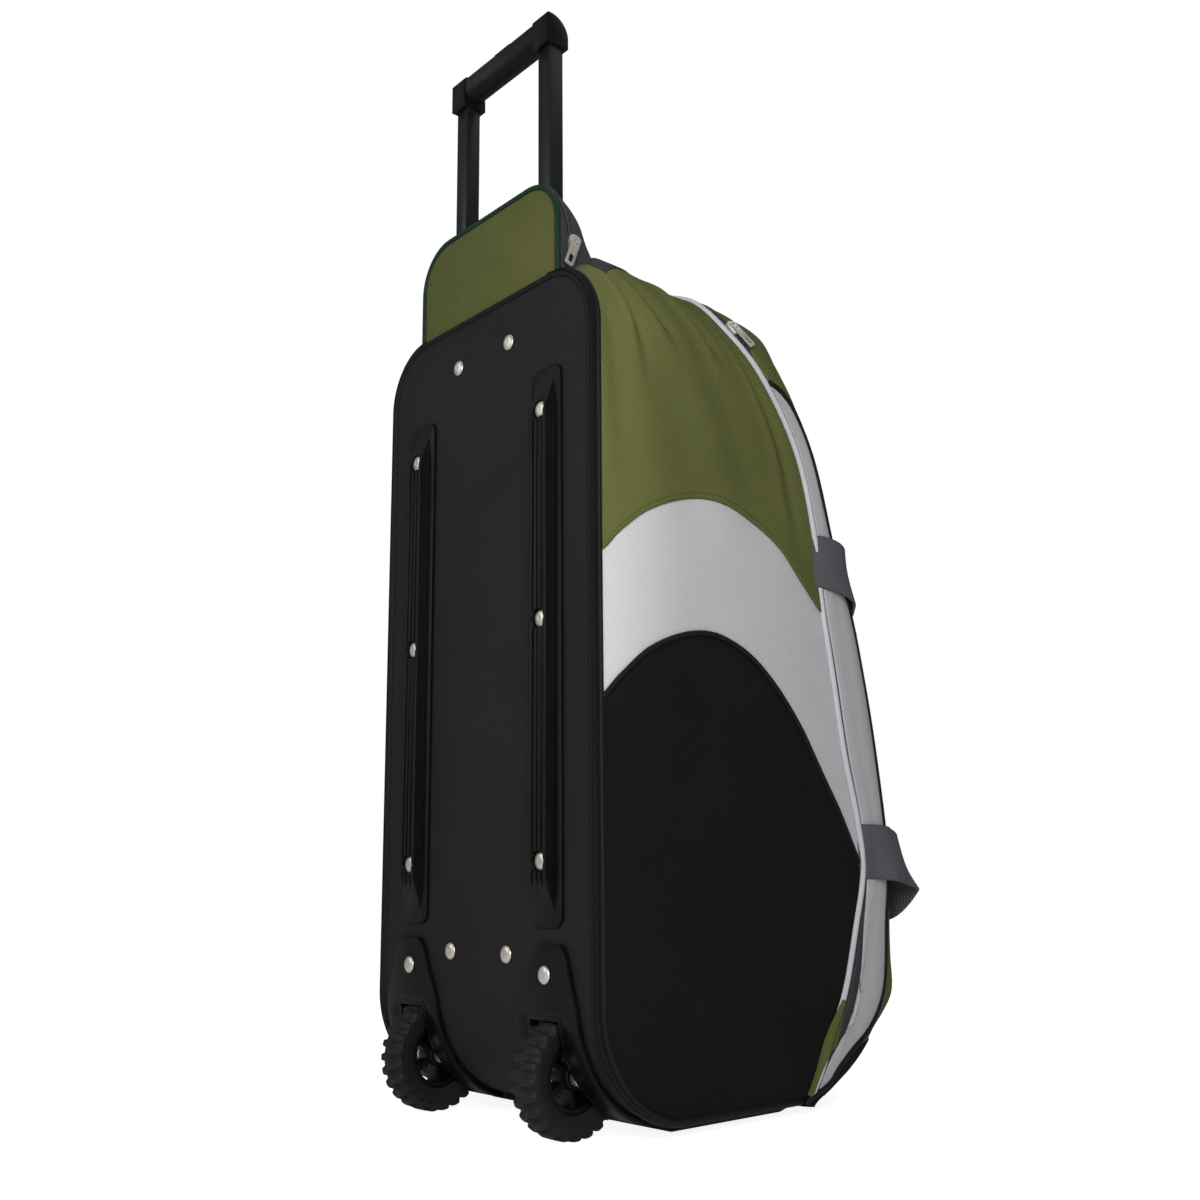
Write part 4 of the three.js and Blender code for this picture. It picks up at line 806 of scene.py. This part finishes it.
def stitch_row(name, line, outward, count, material, side):
    """Stitches laid along a line, a thread's thickness proud of the cloth."""
    bm = bmesh.new()
    bm.loops.layers.uv.new("UVMap")
    for number in range(count):
        part = (number + 0.5) / count
        along = along_line(line, part)
        across = outward.cross(along).normalized()
        turn = Matrix((along, across, along.cross(across))).transposed().to_4x4()
        spot = line(part)
        stitch = bmesh.ops.create_cube(bm, size=1, matrix=turn @ stretched(STITCH), calc_uvs=True)
        for vert in stitch["verts"]:
            shift = to_frame(spot) + vert.co
            vert.co = Vector((side * shift.x, shift.y, shift.z))
    bmesh.ops.recalc_face_normals(bm, faces=bm.faces)
    piece = finish_piece(name, bm, material, ())
    rounding = piece.modifiers.new("round thread", "SUBSURF")
    rounding.levels = 1
    rounding.render_levels = 1
    return piece


SIDES = (("right", 1), ("left", -1))

# Sides: green over silver over black, each a sewn panel
RIM_ROLL = 2.2
RIM_DROP = 1.6
SILVER_TUCK = 4
SILVER_SUNK = 0.4
HEM_ROLL = 1.3


def silver_top(share):
    return look_up(COLOUR_ARCS, 1, share)


def black_top(share):
    return look_up(COLOUR_ARCS, 2, share)


def black_panel(u, v):
    row = lerp(row_at(BASE_EDGE), row_at(black_top(u)), v)
    roll = RIM_ROLL * smoothstep(v, 0.86, 0.965) - RIM_DROP * smoothstep(v, 0.975, 1)
    return side_point(u, row, roll * (1 - smoothstep(u, 0.88, 0.97)))


def silver_panel(u, v):
    height = lerp(black_top(u) - SILVER_TUCK, silver_top(u) + SILVER_TUCK, v)
    return side_point(u, row_at(height), -SILVER_SUNK)


def green_panel(u, v):
    row = lerp(row_at(silver_top(u)), LAST_ROW, v)
    return side_point(u, row, HEM_ROLL * (1 - smoothstep(v, 0.03, 0.1)))


for word, side in SIDES:
    cloth_piece(f"black_side_{word}", black_panel, 56, 80, BLACK, [f"side_black_{word}"],
                side=side, cut=side_cut)
    cloth_piece(f"silver_side_{word}", silver_panel, 56, 24, SILVER_SIDE_LIT, [f"side_silver_{word}"],
                side=side, cut=side_cut)
    cloth_piece(f"green_side_{word}", green_panel, 120, 110, GREEN_SIDE_LIT, [f"side_green_{word}"],
                side=side, cut=side_cut)

# Lid: green centre, silver strips that lap over the zip, and the piping between them
def lid_centre(u, v):
    row = lerp(SEAM_FOOT, LAST_ROW, min(1, v / LID_SHARE))
    edge = max(-LAP_TURN, strip_edge(row) - STRIP_LAP)
    turn = lerp(edge, 2 - edge, u)
    past = max(0, v - LID_SHARE) / TOP_LAP_SHARE
    if past and 0 <= turn <= 2:
        return lid_point(turn, LAST_ROW, past * look_up(ZIP_LAPS, 1, LAST_ROW))
    return lid_lap(turn, row) + lid_puff(turn, row)


def lid_strip(u, v):
    row = lerp(SEAM_FOOT, STRIP_END_ROW, v)
    return lid_lap(lerp(-LAP_TURN, strip_edge(row), u), row) + Vector((STRIP_PROUD, 0, 0))


def lid_welt(v):
    row = lerp(0, STRIP_END_ROW, v)
    return lid_lap(strip_edge(row), row) - foot_tuck(row)


cloth_piece("lid_centre_cloth", lid_centre, 90, 124, GREEN, ["lid_centre"])
for word, side in SIDES:
    cloth_piece(f"lid_strip_cloth_{word}", lid_strip, 28, 110, SILVER_STRIP_SHADED, [f"lid_strip_{word}"],
                side=side)
    cord_piece(f"lid_welt_{word}", lid_welt, LID_WELT_R, 8, 240, PIPE_BLACK, [f"lid_piping_{word}"],
               side=side)

# Main zip
zip_back, zip_front = seam_path(ZIP_SPAN), seam_path(-TAPE_UNDER_LID)


def zip_tape(u, v):
    return zip_back(v).lerp(zip_front(v), u)


cord_piece("seam_welt", zip_back, SEAM_WELT_R, 10, 420, PIPE_WHITE, ["seam_piping"])
cloth_piece("main_zip_tape", zip_tape, 6, 300, TAPE, ["main_zip"])
cord_piece("main_zip_teeth", seam_path(TEETH_SET_BACK), ZIP_TEETH_R, 6, 1600, TEETH, (),
           ribs=400)

# Top and base
GUIDE_X, GUIDE_Y = 66, 25
GUIDE_WIDE, GUIDE_DEEP = 11.3, 10.3


def top_panel(u, v):
    edge = lid_point(2 - 2 * u, LAST_ROW, ZIP_SPAN)
    y = lerp(0, edge.y, v)
    level = lerp(BACK_TOP, edge.z, v) + look_up(TOP_LIFT, 1, v)
    return Vector((clamp(edge.x, -CORNER_X, CORNER_X), y, level))


def top_cloth():
    """The top between the corners, cut open for the two tubes of the handle's guide."""
    bm = draped_grid(top_panel, 48, 36)
    for side in (-1, 1):
        edges = [(Vector((side * GUIDE_X + way * GUIDE_WIDE, 0, 0)), Vector((1, 0, 0))) for way in (-1, 1)]
        edges += [(Vector((0, GUIDE_Y + way * GUIDE_DEEP, 0)), Vector((0, 1, 0))) for way in (-1, 1)]
        for place, square in edges:
            whole = bm.verts[:] + bm.edges[:] + bm.faces[:]
            bmesh.ops.bisect_plane(bm, geom=whole, plane_co=to_frame(place), plane_no=square)
    middle = to_frame(Vector((GUIDE_X, GUIDE_Y, 0)))
    cut = []
    for face in bm.faces:
        at = face.calc_center_median()
        if abs(abs(at.x) - middle.x) < GUIDE_WIDE * MM and abs(at.y - middle.y) < GUIDE_DEEP * MM:
            cut.append(face)
    bmesh.ops.delete(bm, geom=cut, context="FACES")
    lay_cloth("top_cloth", bm, top_panel, GREEN, ["top_panel"], CLOTH)


top_cloth()


def base_panel(u, v):
    sideways = 2 * u - 1
    angle = math.acos(min(1, abs(sideways)) ** 1.5)
    y = lerp(HEEL, lid_point(angle / (math.pi / 2), 0).y - FOOT_TUCK, v)
    half = lerp(HALF_WIDTH, BASE_FRONT_HALF, v)
    lift = max(smoothstep(abs(sideways), BASE_FLAT, 1), smoothstep(abs(2 * v - 1), BASE_FLAT, 1))
    return Vector((-sideways * half, y, BASE_DROP * lift))


cloth_piece("base_cloth", base_panel, 40, 40, BACKING, ["bottom_panel"])

# Black band round the lid's foot
BAND_TOP = 1.75
BAND_PROUD = 0.9


def foot_band(u, v):
    row = lerp(0, BAND_TOP, v)
    edge = strip_edge(row)
    turn = lerp(edge, 2 - edge, u)
    proud = Vector((BAND_PROUD * math.cos(turn * math.pi / 2), BAND_PROUD, 0))
    return lid_lap(turn, row) + proud - foot_tuck(row)


cloth_piece("lid_foot_band", foot_band, 80, 24, BLACK, (), THIN_CLOTH)

# Green patch over the zip's lower end: row, its edge towards the back, its edge towards the lid
ZIP_END = [
    (0.2, -6, -1.7), (1, -7, -1.7), (1.4, -7, 1), (1.75, -6.5, 8.5), (2.2, -5, 8.5),
    (2.6, -3.6, 5.5), (2.85, -2.6, 3),
]
PATCH_PROUD = 0.9
PATCH_RISE = 2.9
PATCH_ROUND = 3.2

# Seams of the side: the rolled rim of the black, the stitched hem of the green, and the welt by the back
RIM_FROM, RIM_TO = 0.03, 0.99
RIM_PROUD = 1.2
RIM_SINK = 3
HEM_FROM, HEM_TO = 0.02, 0.98
HEM_RISE = 5
HEM_PROUD = 1.5
BINDING_FROM, BINDING_TO = -2, 8.5
BINDING_PROUD = 1.9
WELT_FROM_BACK = 7.4
WELT_PROUD = 0.6
WELT_FOOT_ROW = 0.12
OUT = Vector((1, 0, 0))


def black_rim(v):
    share = lerp(RIM_FROM, RIM_TO, v)
    return side_point(share, row_at(black_top(share)), RIM_PROUD - RIM_SINK * smoothstep(share, 0.9, 0.98))


def green_hem(v):
    share = lerp(HEM_FROM, HEM_TO, v)
    return side_point(share, row_at(silver_top(share) + HEM_RISE), HEM_PROUD)


def from_back(distance, row, proud):
    return side_point(distance / (seam(row) - back_edge(row)).length, row, proud)


def edge_binding(u, v):
    return from_back(lerp(BINDING_FROM, BINDING_TO, u), lerp(WELT_FOOT_ROW, LAST_ROW, v), BINDING_PROUD)


def side_welt(v):
    return from_back(WELT_FROM_BACK, lerp(WELT_FOOT_ROW, LAST_ROW, v), WELT_PROUD)


def zip_end(u, v):
    row = lerp(ZIP_END[0][0], ZIP_END[-1][0], v)
    offset = lerp(look_up(ZIP_END, 1, row), look_up(ZIP_END, 2, row), u)
    return seam_side(row, offset, PATCH_PROUD + PATCH_RISE * math.exp(-((offset / PATCH_ROUND) ** 2)))


for word, side in SIDES:
    cord_piece(f"black_rim_{word}", black_rim, RIM_R, 10, 150, PIPE_BLACK, (), side=side)
    stitch_row(f"hem_stitches_{word}", green_hem, OUT, 86, THREAD_GREEN, side)
    cloth_piece(f"edge_binding_{word}", edge_binding, 5, 200, BLACK, (),
                TAPE_CLOTH, side)
    cord_piece(f"side_welt_{word}", side_welt, SIDE_WELT_R, 10, 260, PIPE_BLACK, (),
               side=side)
    cloth_piece(f"zip_end_patch_{word}", zip_end, 16, 60, GREEN, (),
                THIN_CLOTH, side, side_cut)

# Stiff back, cut open where the wheels go in
WELL_X = 94
WELL_R = 52
WELL_HALF = 21
TYRE_R = 46.5
AXLE_Z = TYRE_R
BACK_INSET = 2
EDGE_WELT_IN = 1
EDGE_WELT_AHEAD = 1
back_side = even_line(back_outline(BACK_INSET)[BASE_STEPS:])


def back_panel(u, v):
    edge = back_side(v)
    return Vector(((2 * u - 1) * edge.x, edge.y, edge.z))


def back_cloth():
    bm = draped_grid(back_panel, 60, 150)
    axle = to_frame(Vector((0, AXLE_Y, AXLE_Z)))
    cut = []
    for face in bm.faces:
        middle = face.calc_center_median()
        near = math.hypot(middle.y - axle.y, middle.z - axle.z) < WELL_R * MM
        if near and abs(abs(middle.x) - WELL_X * MM) < WELL_HALF * MM:
            cut.append(face)
    bmesh.ops.delete(bm, geom=cut, context="FACES")
    lay_cloth("back_cloth", bm, back_panel, BACKING, ["back_panel"], BACK_CLOTH)


back_cloth()
edge_line = even_line(both_halves(back_outline(EDGE_WELT_IN, EDGE_WELT_AHEAD)))
cord_piece("edge_welt", edge_line, EDGE_WELT_R, 10, 520, PIPE_BLACK, ["edge_piping"])

# Pocket on top of the back
def pocket_edge(place, inset):
    """Its arched outline, from the right foot (-1) over the top (0) to the left foot (1)."""
    half, top, radius = POCKET_HALF - inset, POCKET_TOP - inset, POCKET_CORNER - inset
    side = 1 if place < 0 else -1
    away = abs(place)
    if away > POCKET_STRAIGHT:
        down = (away - POCKET_STRAIGHT) / (1 - POCKET_STRAIGHT)
        return Vector((side * half, 0, lerp(top - radius, POCKET_FOOT, down)))
    if away > POCKET_LEVEL:
        turn = (POCKET_STRAIGHT - away) / (POCKET_STRAIGHT - POCKET_LEVEL) * math.pi / 2
        x = half - radius + radius * math.cos(turn)
        return Vector((side * x, 0, top - radius + radius * math.sin(turn)))
    return Vector((side * (half - radius) * away / POCKET_LEVEL, 0, top))


# Slanting creases of the flap: place across it, width, depth
FLAP_CREASES = [(0.12, 0.16, 2.2), (-0.3, 0.12, -1.6)]
CREASE_SLANT = 1.1


def flap_depth(x, z):
    height = clamp((z - POCKET_FOOT) / (POCKET_TOP - POCKET_FOOT))
    crown = 1 - (x / POCKET_HALF) ** 2
    slant = (x / POCKET_HALF) - CREASE_SLANT * (height - 0.5)
    crease = sum(deep * math.exp(-((slant - at) / wide) ** 2) for at, wide, deep in FLAP_CREASES)
    arch = math.sin(math.pi * height)
    return FLAP_Y - FLAP_SWELL * crown * arch + crease * crown * arch


def gusset_depth(z):
    return look_up(GUSSET_ROWS, 1, z)


def pocket_wall(inset, facing, depth_at):
    def surface(u, v):
        edge = pocket_edge(lerp(-POCKET_STRAIGHT, POCKET_STRAIGHT, u), inset)
        z = lerp(POCKET_FOOT - POCKET_TUCK, edge.z, v)
        return Vector((-facing * edge.x, depth_at(edge.x, z), z))
    return surface


def pocket_back_depth(x, z):
    outwards = 1 - smoothstep(POCKET_HALF - abs(x), *POCKET_BACK_BEND)
    return lerp(POCKET_BACK_Y, gusset_depth(z), outwards)


def gusset(u, v):
    edge = pocket_edge(2 * v - 1, 0)
    edge.y = lerp(FLAP_Y, gusset_depth(edge.z), lerp(GUSSET_FROM, 1, u))
    return edge


def pocket_line(inset, depth_share):
    points = []
    for step in range(2 * POCKET_STEPS + 1):
        edge = pocket_edge(step / POCKET_STEPS - 1, inset)
        edge.y = lerp(FLAP_Y, gusset_depth(edge.z), depth_share)
        points.append(edge)
    return even_line(points)


cloth_piece("pocket_flap_cloth", pocket_wall(1, 1, flap_depth), 60, 30, GREEN, ["pocket_flap"])
cloth_piece("pocket_back_cloth", pocket_wall(2, -1, pocket_back_depth), 60, 24, GREEN, ["pocket_back"])
cloth_piece("pocket_gusset_tape", gusset, 16, 120, TAPE, ["pocket_gusset"])

# Tails of the pocket's zip tape, towards the lid's seam: shares of the way, and rows of the outer edge
TAIL_FROM, TAIL_TO = 0.27, 0.7
TAIL_ROW_FROM, TAIL_ROW_TO = 14, 14.75
TAIL_PROUD = 1.2


def tape_tail(u, v):
    low_row = lerp(TAIL_ROW_FROM, TAIL_ROW_TO, v)
    return side_point(lerp(TAIL_FROM, TAIL_TO, v), lerp(LAST_ROW, low_row, u), TAIL_PROUD)


for word, side in SIDES:
    cloth_piece(f"pocket_tape_tail_{word}", tape_tail, 6, 30, TAPE, (),
                TAPE_CLOTH, side)
cord_piece("pocket_teeth", pocket_line(-TEETH_OUT, TEETH_DEPTH), POCKET_TEETH_R, 6, 480, TEETH, (),
           ribs=120)
cord_piece("pocket_welt", pocket_line(POCKET_WELT_IN, 0), POCKET_WELT_R, 10, 160, PIPE_GREEN,
           ["pocket_piping"])

# Carry handles
strap_line = smooth_line([Vector(row[:3]) for row in STRAP_ROWS])
STRAP_TURNS = [(number, row[3], row[4]) for number, row in enumerate(STRAP_ROWS)]


def strap(u, v):
    place = v * STRAP_END
    ahead, behind = min(STRAP_END, place + ROW_STEP), max(0, place - ROW_STEP)
    along = (strap_line(ahead) - strap_line(behind)).normalized()
    lean = math.radians(look_up(STRAP_TURNS, 1, place))
    width = Vector((math.sin(lean), -look_up(STRAP_TURNS, 2, place), math.cos(lean)))
    width = (width - along * width.dot(along)).normalized()
    return strap_line(place) + width * ((u - 0.5) * STRAP_WIDE)


for word, side in SIDES:
    cloth_piece(f"carry_webbing_{word}", strap, 16, 150, WEB, [f"carry_strap_{word}"],
                WEB_THICK, side)

# Wheels: lugged tyre, spoked hub and axle. Section of the tyre, round from its left inner edge: radius, x
TYRE_ROWS = [
    (27, -11), (36, -13.6), (42.4, -14), (45.4, -12), (TYRE_R, -8), (TYRE_R, 8),
    (45.4, 12), (42.4, 14), (36, 13.6), (27, 11), (27, -11),
]
tyre_section = even_line([Vector((*row, 0)) for row in TYRE_ROWS])
LUGS = 24
LUG_DEEP = 3.2
LUG_HALF = 3.3
LUG_ROUND = 5.5
LUG_EASE = 0.5
LUG_FROM, LUG_FULL = 40.5, 43


def tyre_radius(across, radius, round_share):
    """The tyre's radius with a tongue-shaped notch cut in from each shoulder by turns."""
    pitch = 2 * math.pi * TYRE_R / LUGS
    cut = 0
    for side, lag in ((1, 0), (-1, 0.5)):
        aside = ((round_share * LUGS + lag) % 1 - 0.5) * pitch
        inward = across * side - LUG_ROUND
        gap = abs(aside) if inward > 0 else math.hypot(aside, inward)
        cut = max(cut, 1 - smoothstep(gap - LUG_HALF, -LUG_EASE, LUG_EASE))
    return radius - LUG_DEEP * cut * smoothstep(radius, LUG_FROM, LUG_FULL)


def tyre(u, v):
    section = tyre_section(u)
    radius = tyre_radius(section.y, section.x, v)
    turn = 2 * math.pi * v
    return Vector((WELL_X + section.y, AXLE_Y + radius * math.cos(turn), AXLE_Z + radius * math.sin(turn)))


# Turned profiles of the wheel: x from the wheel's middle, radius
HUB_RIM = [(-9, 26.6), (-9, 23), (-3, 22), (3, 22), (9, 23), (9, 26.6), (-9, 26.6)]
HUB_BOSS = [(-10, 4.4), (-10, 9), (-8, 10), (8, 10), (10, 9), (10, 4.4), (-10, 4.4)]
AXLE_CAP = [
    (-20.5, 0), (-20.5, 4), (-17, 4), (-17, 6.4), (-16, 6.5), (-10.4, 6.5), (-10.4, 4),
    (10.4, 4), (10.4, 6.5), (16, 6.5), (17, 6.4), (17, 4), (20.5, 4), (20.5, 0),
]
SPOKES = 6
SPOKE_SIZE = (13, 4.5, 15)
SPOKE_MIDDLE = 16
HUB_EASE = 0.6


def hub_mesh(centre):
    """The hub's rim and boss, with spokes between them."""
    bm = bmesh.new()
    turned_on(bm, HUB_RIM, centre, OUT, 48)
    turned_on(bm, HUB_BOSS, centre, OUT, 32)
    for number in range(SPOKES):
        spin = Matrix.Rotation(2 * math.pi * number / SPOKES, 4, "X")
        reach = Matrix.Translation(Vector((0, 0, SPOKE_MIDDLE * MM)))
        place = Matrix.Translation(centre) @ spin @ reach
        bmesh.ops.create_cube(bm, size=1, matrix=place @ stretched(SPOKE_SIZE))
    return close_mesh(bm)


def axle_mesh(centre):
    bm = bmesh.new()
    turned_on(bm, AXLE_CAP, centre, OUT, 32)
    return close_mesh(bm)


for word, side in SIDES:
    hub_at = to_frame(Vector((side * WELL_X, AXLE_Y, AXLE_Z)))
    wheel = f"wheel_{word}"
    rubber = close_mesh(draped_grid(tyre, 44, 10 * LUGS, side))
    finish_piece(f"tyre_tread_{word}", rubber, RUBBER, [f"tyre_{word}"], wheel)
    hub_node = [f"wheel_hub_{word}"]
    hub = finish_piece(f"hub_spokes_{word}", hub_mesh(hub_at), PLASTIC, hub_node, wheel)
    ease_edges(hub, HUB_EASE)
    finish_piece(f"axle_pin_{word}", axle_mesh(hub_at), NICKEL, [f"axle_{word}"])

# Moulded parts on their frame
for word, side in SIDES:
    eased_copy(f"wheel_housing_{word}", PLASTIC, 1.4)
    eased_copy(f"skid_rail_{word}", PLASTIC, 0.7)
    eased_copy(f"handle_tube_{word}", TUBE, 0.6, "handle")
eased_copy("grip", PLASTIC, 1.8, "handle")
eased_copy("release_button", PLASTIC, 1, "button")
for node in ("main_slider", "main_puller", "pocket_slider", "pocket_puller"):
    eased_copy(node, NICKEL, 0.45)
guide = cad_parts["handle_guide"]
guide.data.materials.clear()
guide.data.materials.append(TUBE)

# Rivets, low domed heads with a dimple: y from the seat, radius
RIVET_HEAD = [(0, 0), (0, 7), (-0.7, 7), (-1.5, 6.4), (-2.2, 4.6), (-2.5, 2.2), (-2.35, 1), (-2.2, 0)]
RIVETS = [
    "back_rivet", "rail_rivet_top", "rail_rivet_middle", "rail_rivet_low", "base_rivet", "housing_rivet",
]


def rivet_heads():
    bm = bmesh.new()
    nodes = [f"{name}_{word}" for name in RIVETS for word, side in SIDES]
    for node in nodes:
        low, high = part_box(node)
        seat = Vector(((low.x + high.x) / 2, high.y, (low.z + high.z) / 2))
        turned_on(bm, RIVET_HEAD, seat, Vector((0, 1, 0)), 28)
    finish_piece("rivet_heads", close_mesh(bm), NICKEL, nodes)


rivet_heads()

# Camera at the photograph's place
CAMERA_AT = Vector((942.74, -648.88, 192.97))
YAW, PITCH, ROLL = math.radians(50.338), math.radians(11.689), math.radians(-0.506)
LENS = 40.5
SENSOR = 36


def photo_camera():
    ahead = Vector((-math.sin(YAW) * math.cos(PITCH), math.cos(YAW) * math.cos(PITCH), math.sin(PITCH)))
    level = Vector((math.cos(YAW), math.sin(YAW), 0))
    upright = level.cross(ahead)
    right = level * math.cos(ROLL) + upright * math.sin(ROLL)
    up = upright * math.cos(ROLL) - level * math.sin(ROLL)
    data = bpy.data.cameras.new("photo_camera")
    data.lens = LENS
    data.sensor_width = SENSOR
    camera = bpy.data.objects.new("photo_camera", data)
    turn = Matrix((right, up, -ahead)).transposed().to_4x4()
    camera.matrix_world = Matrix.Translation(to_frame(CAMERA_AT)) @ turn
    bpy.context.scene.collection.objects.link(camera)
    bpy.context.scene.camera = camera


photo_camera()

# Floor and soft studio light, in metres and watts. Lamps: name, place, target, size, power
FLOOR_HALF = 30
FLOOR_DARK, FLOOR_LIGHT = (0.80, 0.80, 0.80, 1), (0.84, 0.84, 0.84, 1)
FLOOR_GLOW, FLOOR_SHOWN = 0.1, 1.08
SKY_LIGHT, SKY_SHOWN = (0.14, 0.142, 0.148, 1), (1, 1, 1, 1)
LAMPS = [
    ("key", (0.95, -0.8, 0.62), (0.1, -0.1, 0.42), 0.6, 8.8),
    ("back_fill", (-0.9, -2.2, 1.3), (0, -0.2, 0.4), 1.6, 12),
    ("overhead", (0.3, 0.3, 2.6), (0, 0, 0.5), 2.2, 9),
]


def pale_floor():
    bm = bmesh.new()
    bmesh.ops.create_grid(bm, x_segments=8, y_segments=8, size=FLOOR_HALF)
    mesh = bpy.data.meshes.new("floor")
    bm.to_mesh(mesh)
    bm.free()
    paint, tree, shader = new_material("pale_floor", {"Roughness": 0.7, "Specular IOR Level": 0.1})
    place = add_node(tree, "ShaderNodeTexCoord")
    speck = add_node(tree, "ShaderNodeTexNoise", {"Vector": place.outputs["Object"], "Scale": 3.0})
    tone = mix_colour(tree, speck.outputs[0], FLOOR_DARK, FLOOR_LIGHT)
    path = add_node(tree, "ShaderNodeLightPath")
    glow = map_range(tree, path.outputs["Is Camera Ray"], FLOOR_GLOW, FLOOR_SHOWN)
    tree.links.new(tone, shader.inputs["Base Color"])
    tree.links.new(tone, shader.inputs["Emission Color"])
    tree.links.new(glow, shader.inputs["Emission Strength"])
    mesh.materials.append(paint)
    floor = bpy.data.objects.new("floor", mesh)
    bpy.context.scene.collection.objects.link(floor)


def studio_light():
    world = bpy.data.worlds.new("studio")
    world.use_nodes = True
    tree = world.node_tree
    path = add_node(tree, "ShaderNodeLightPath")
    sky = tree.nodes["Background"]
    colour = mix_colour(tree, path.outputs["Is Camera Ray"], SKY_LIGHT, SKY_SHOWN)
    tree.links.new(colour, sky.inputs["Color"])
    sky.inputs["Strength"].default_value = 1.0
    bpy.context.scene.world = world
    bpy.context.scene.view_settings.view_transform = "Standard"
    for name, place, target, size, power in LAMPS:
        data = bpy.data.lights.new(name, "AREA")
        data.size = size
        data.energy = power
        lamp = bpy.data.objects.new(name, data)
        lamp.location = place
        lamp.rotation_euler = (Vector(target) - Vector(place)).to_track_quat("-Z", "Y").to_euler()
        bpy.context.scene.collection.objects.link(lamp)


pale_floor()
studio_light()
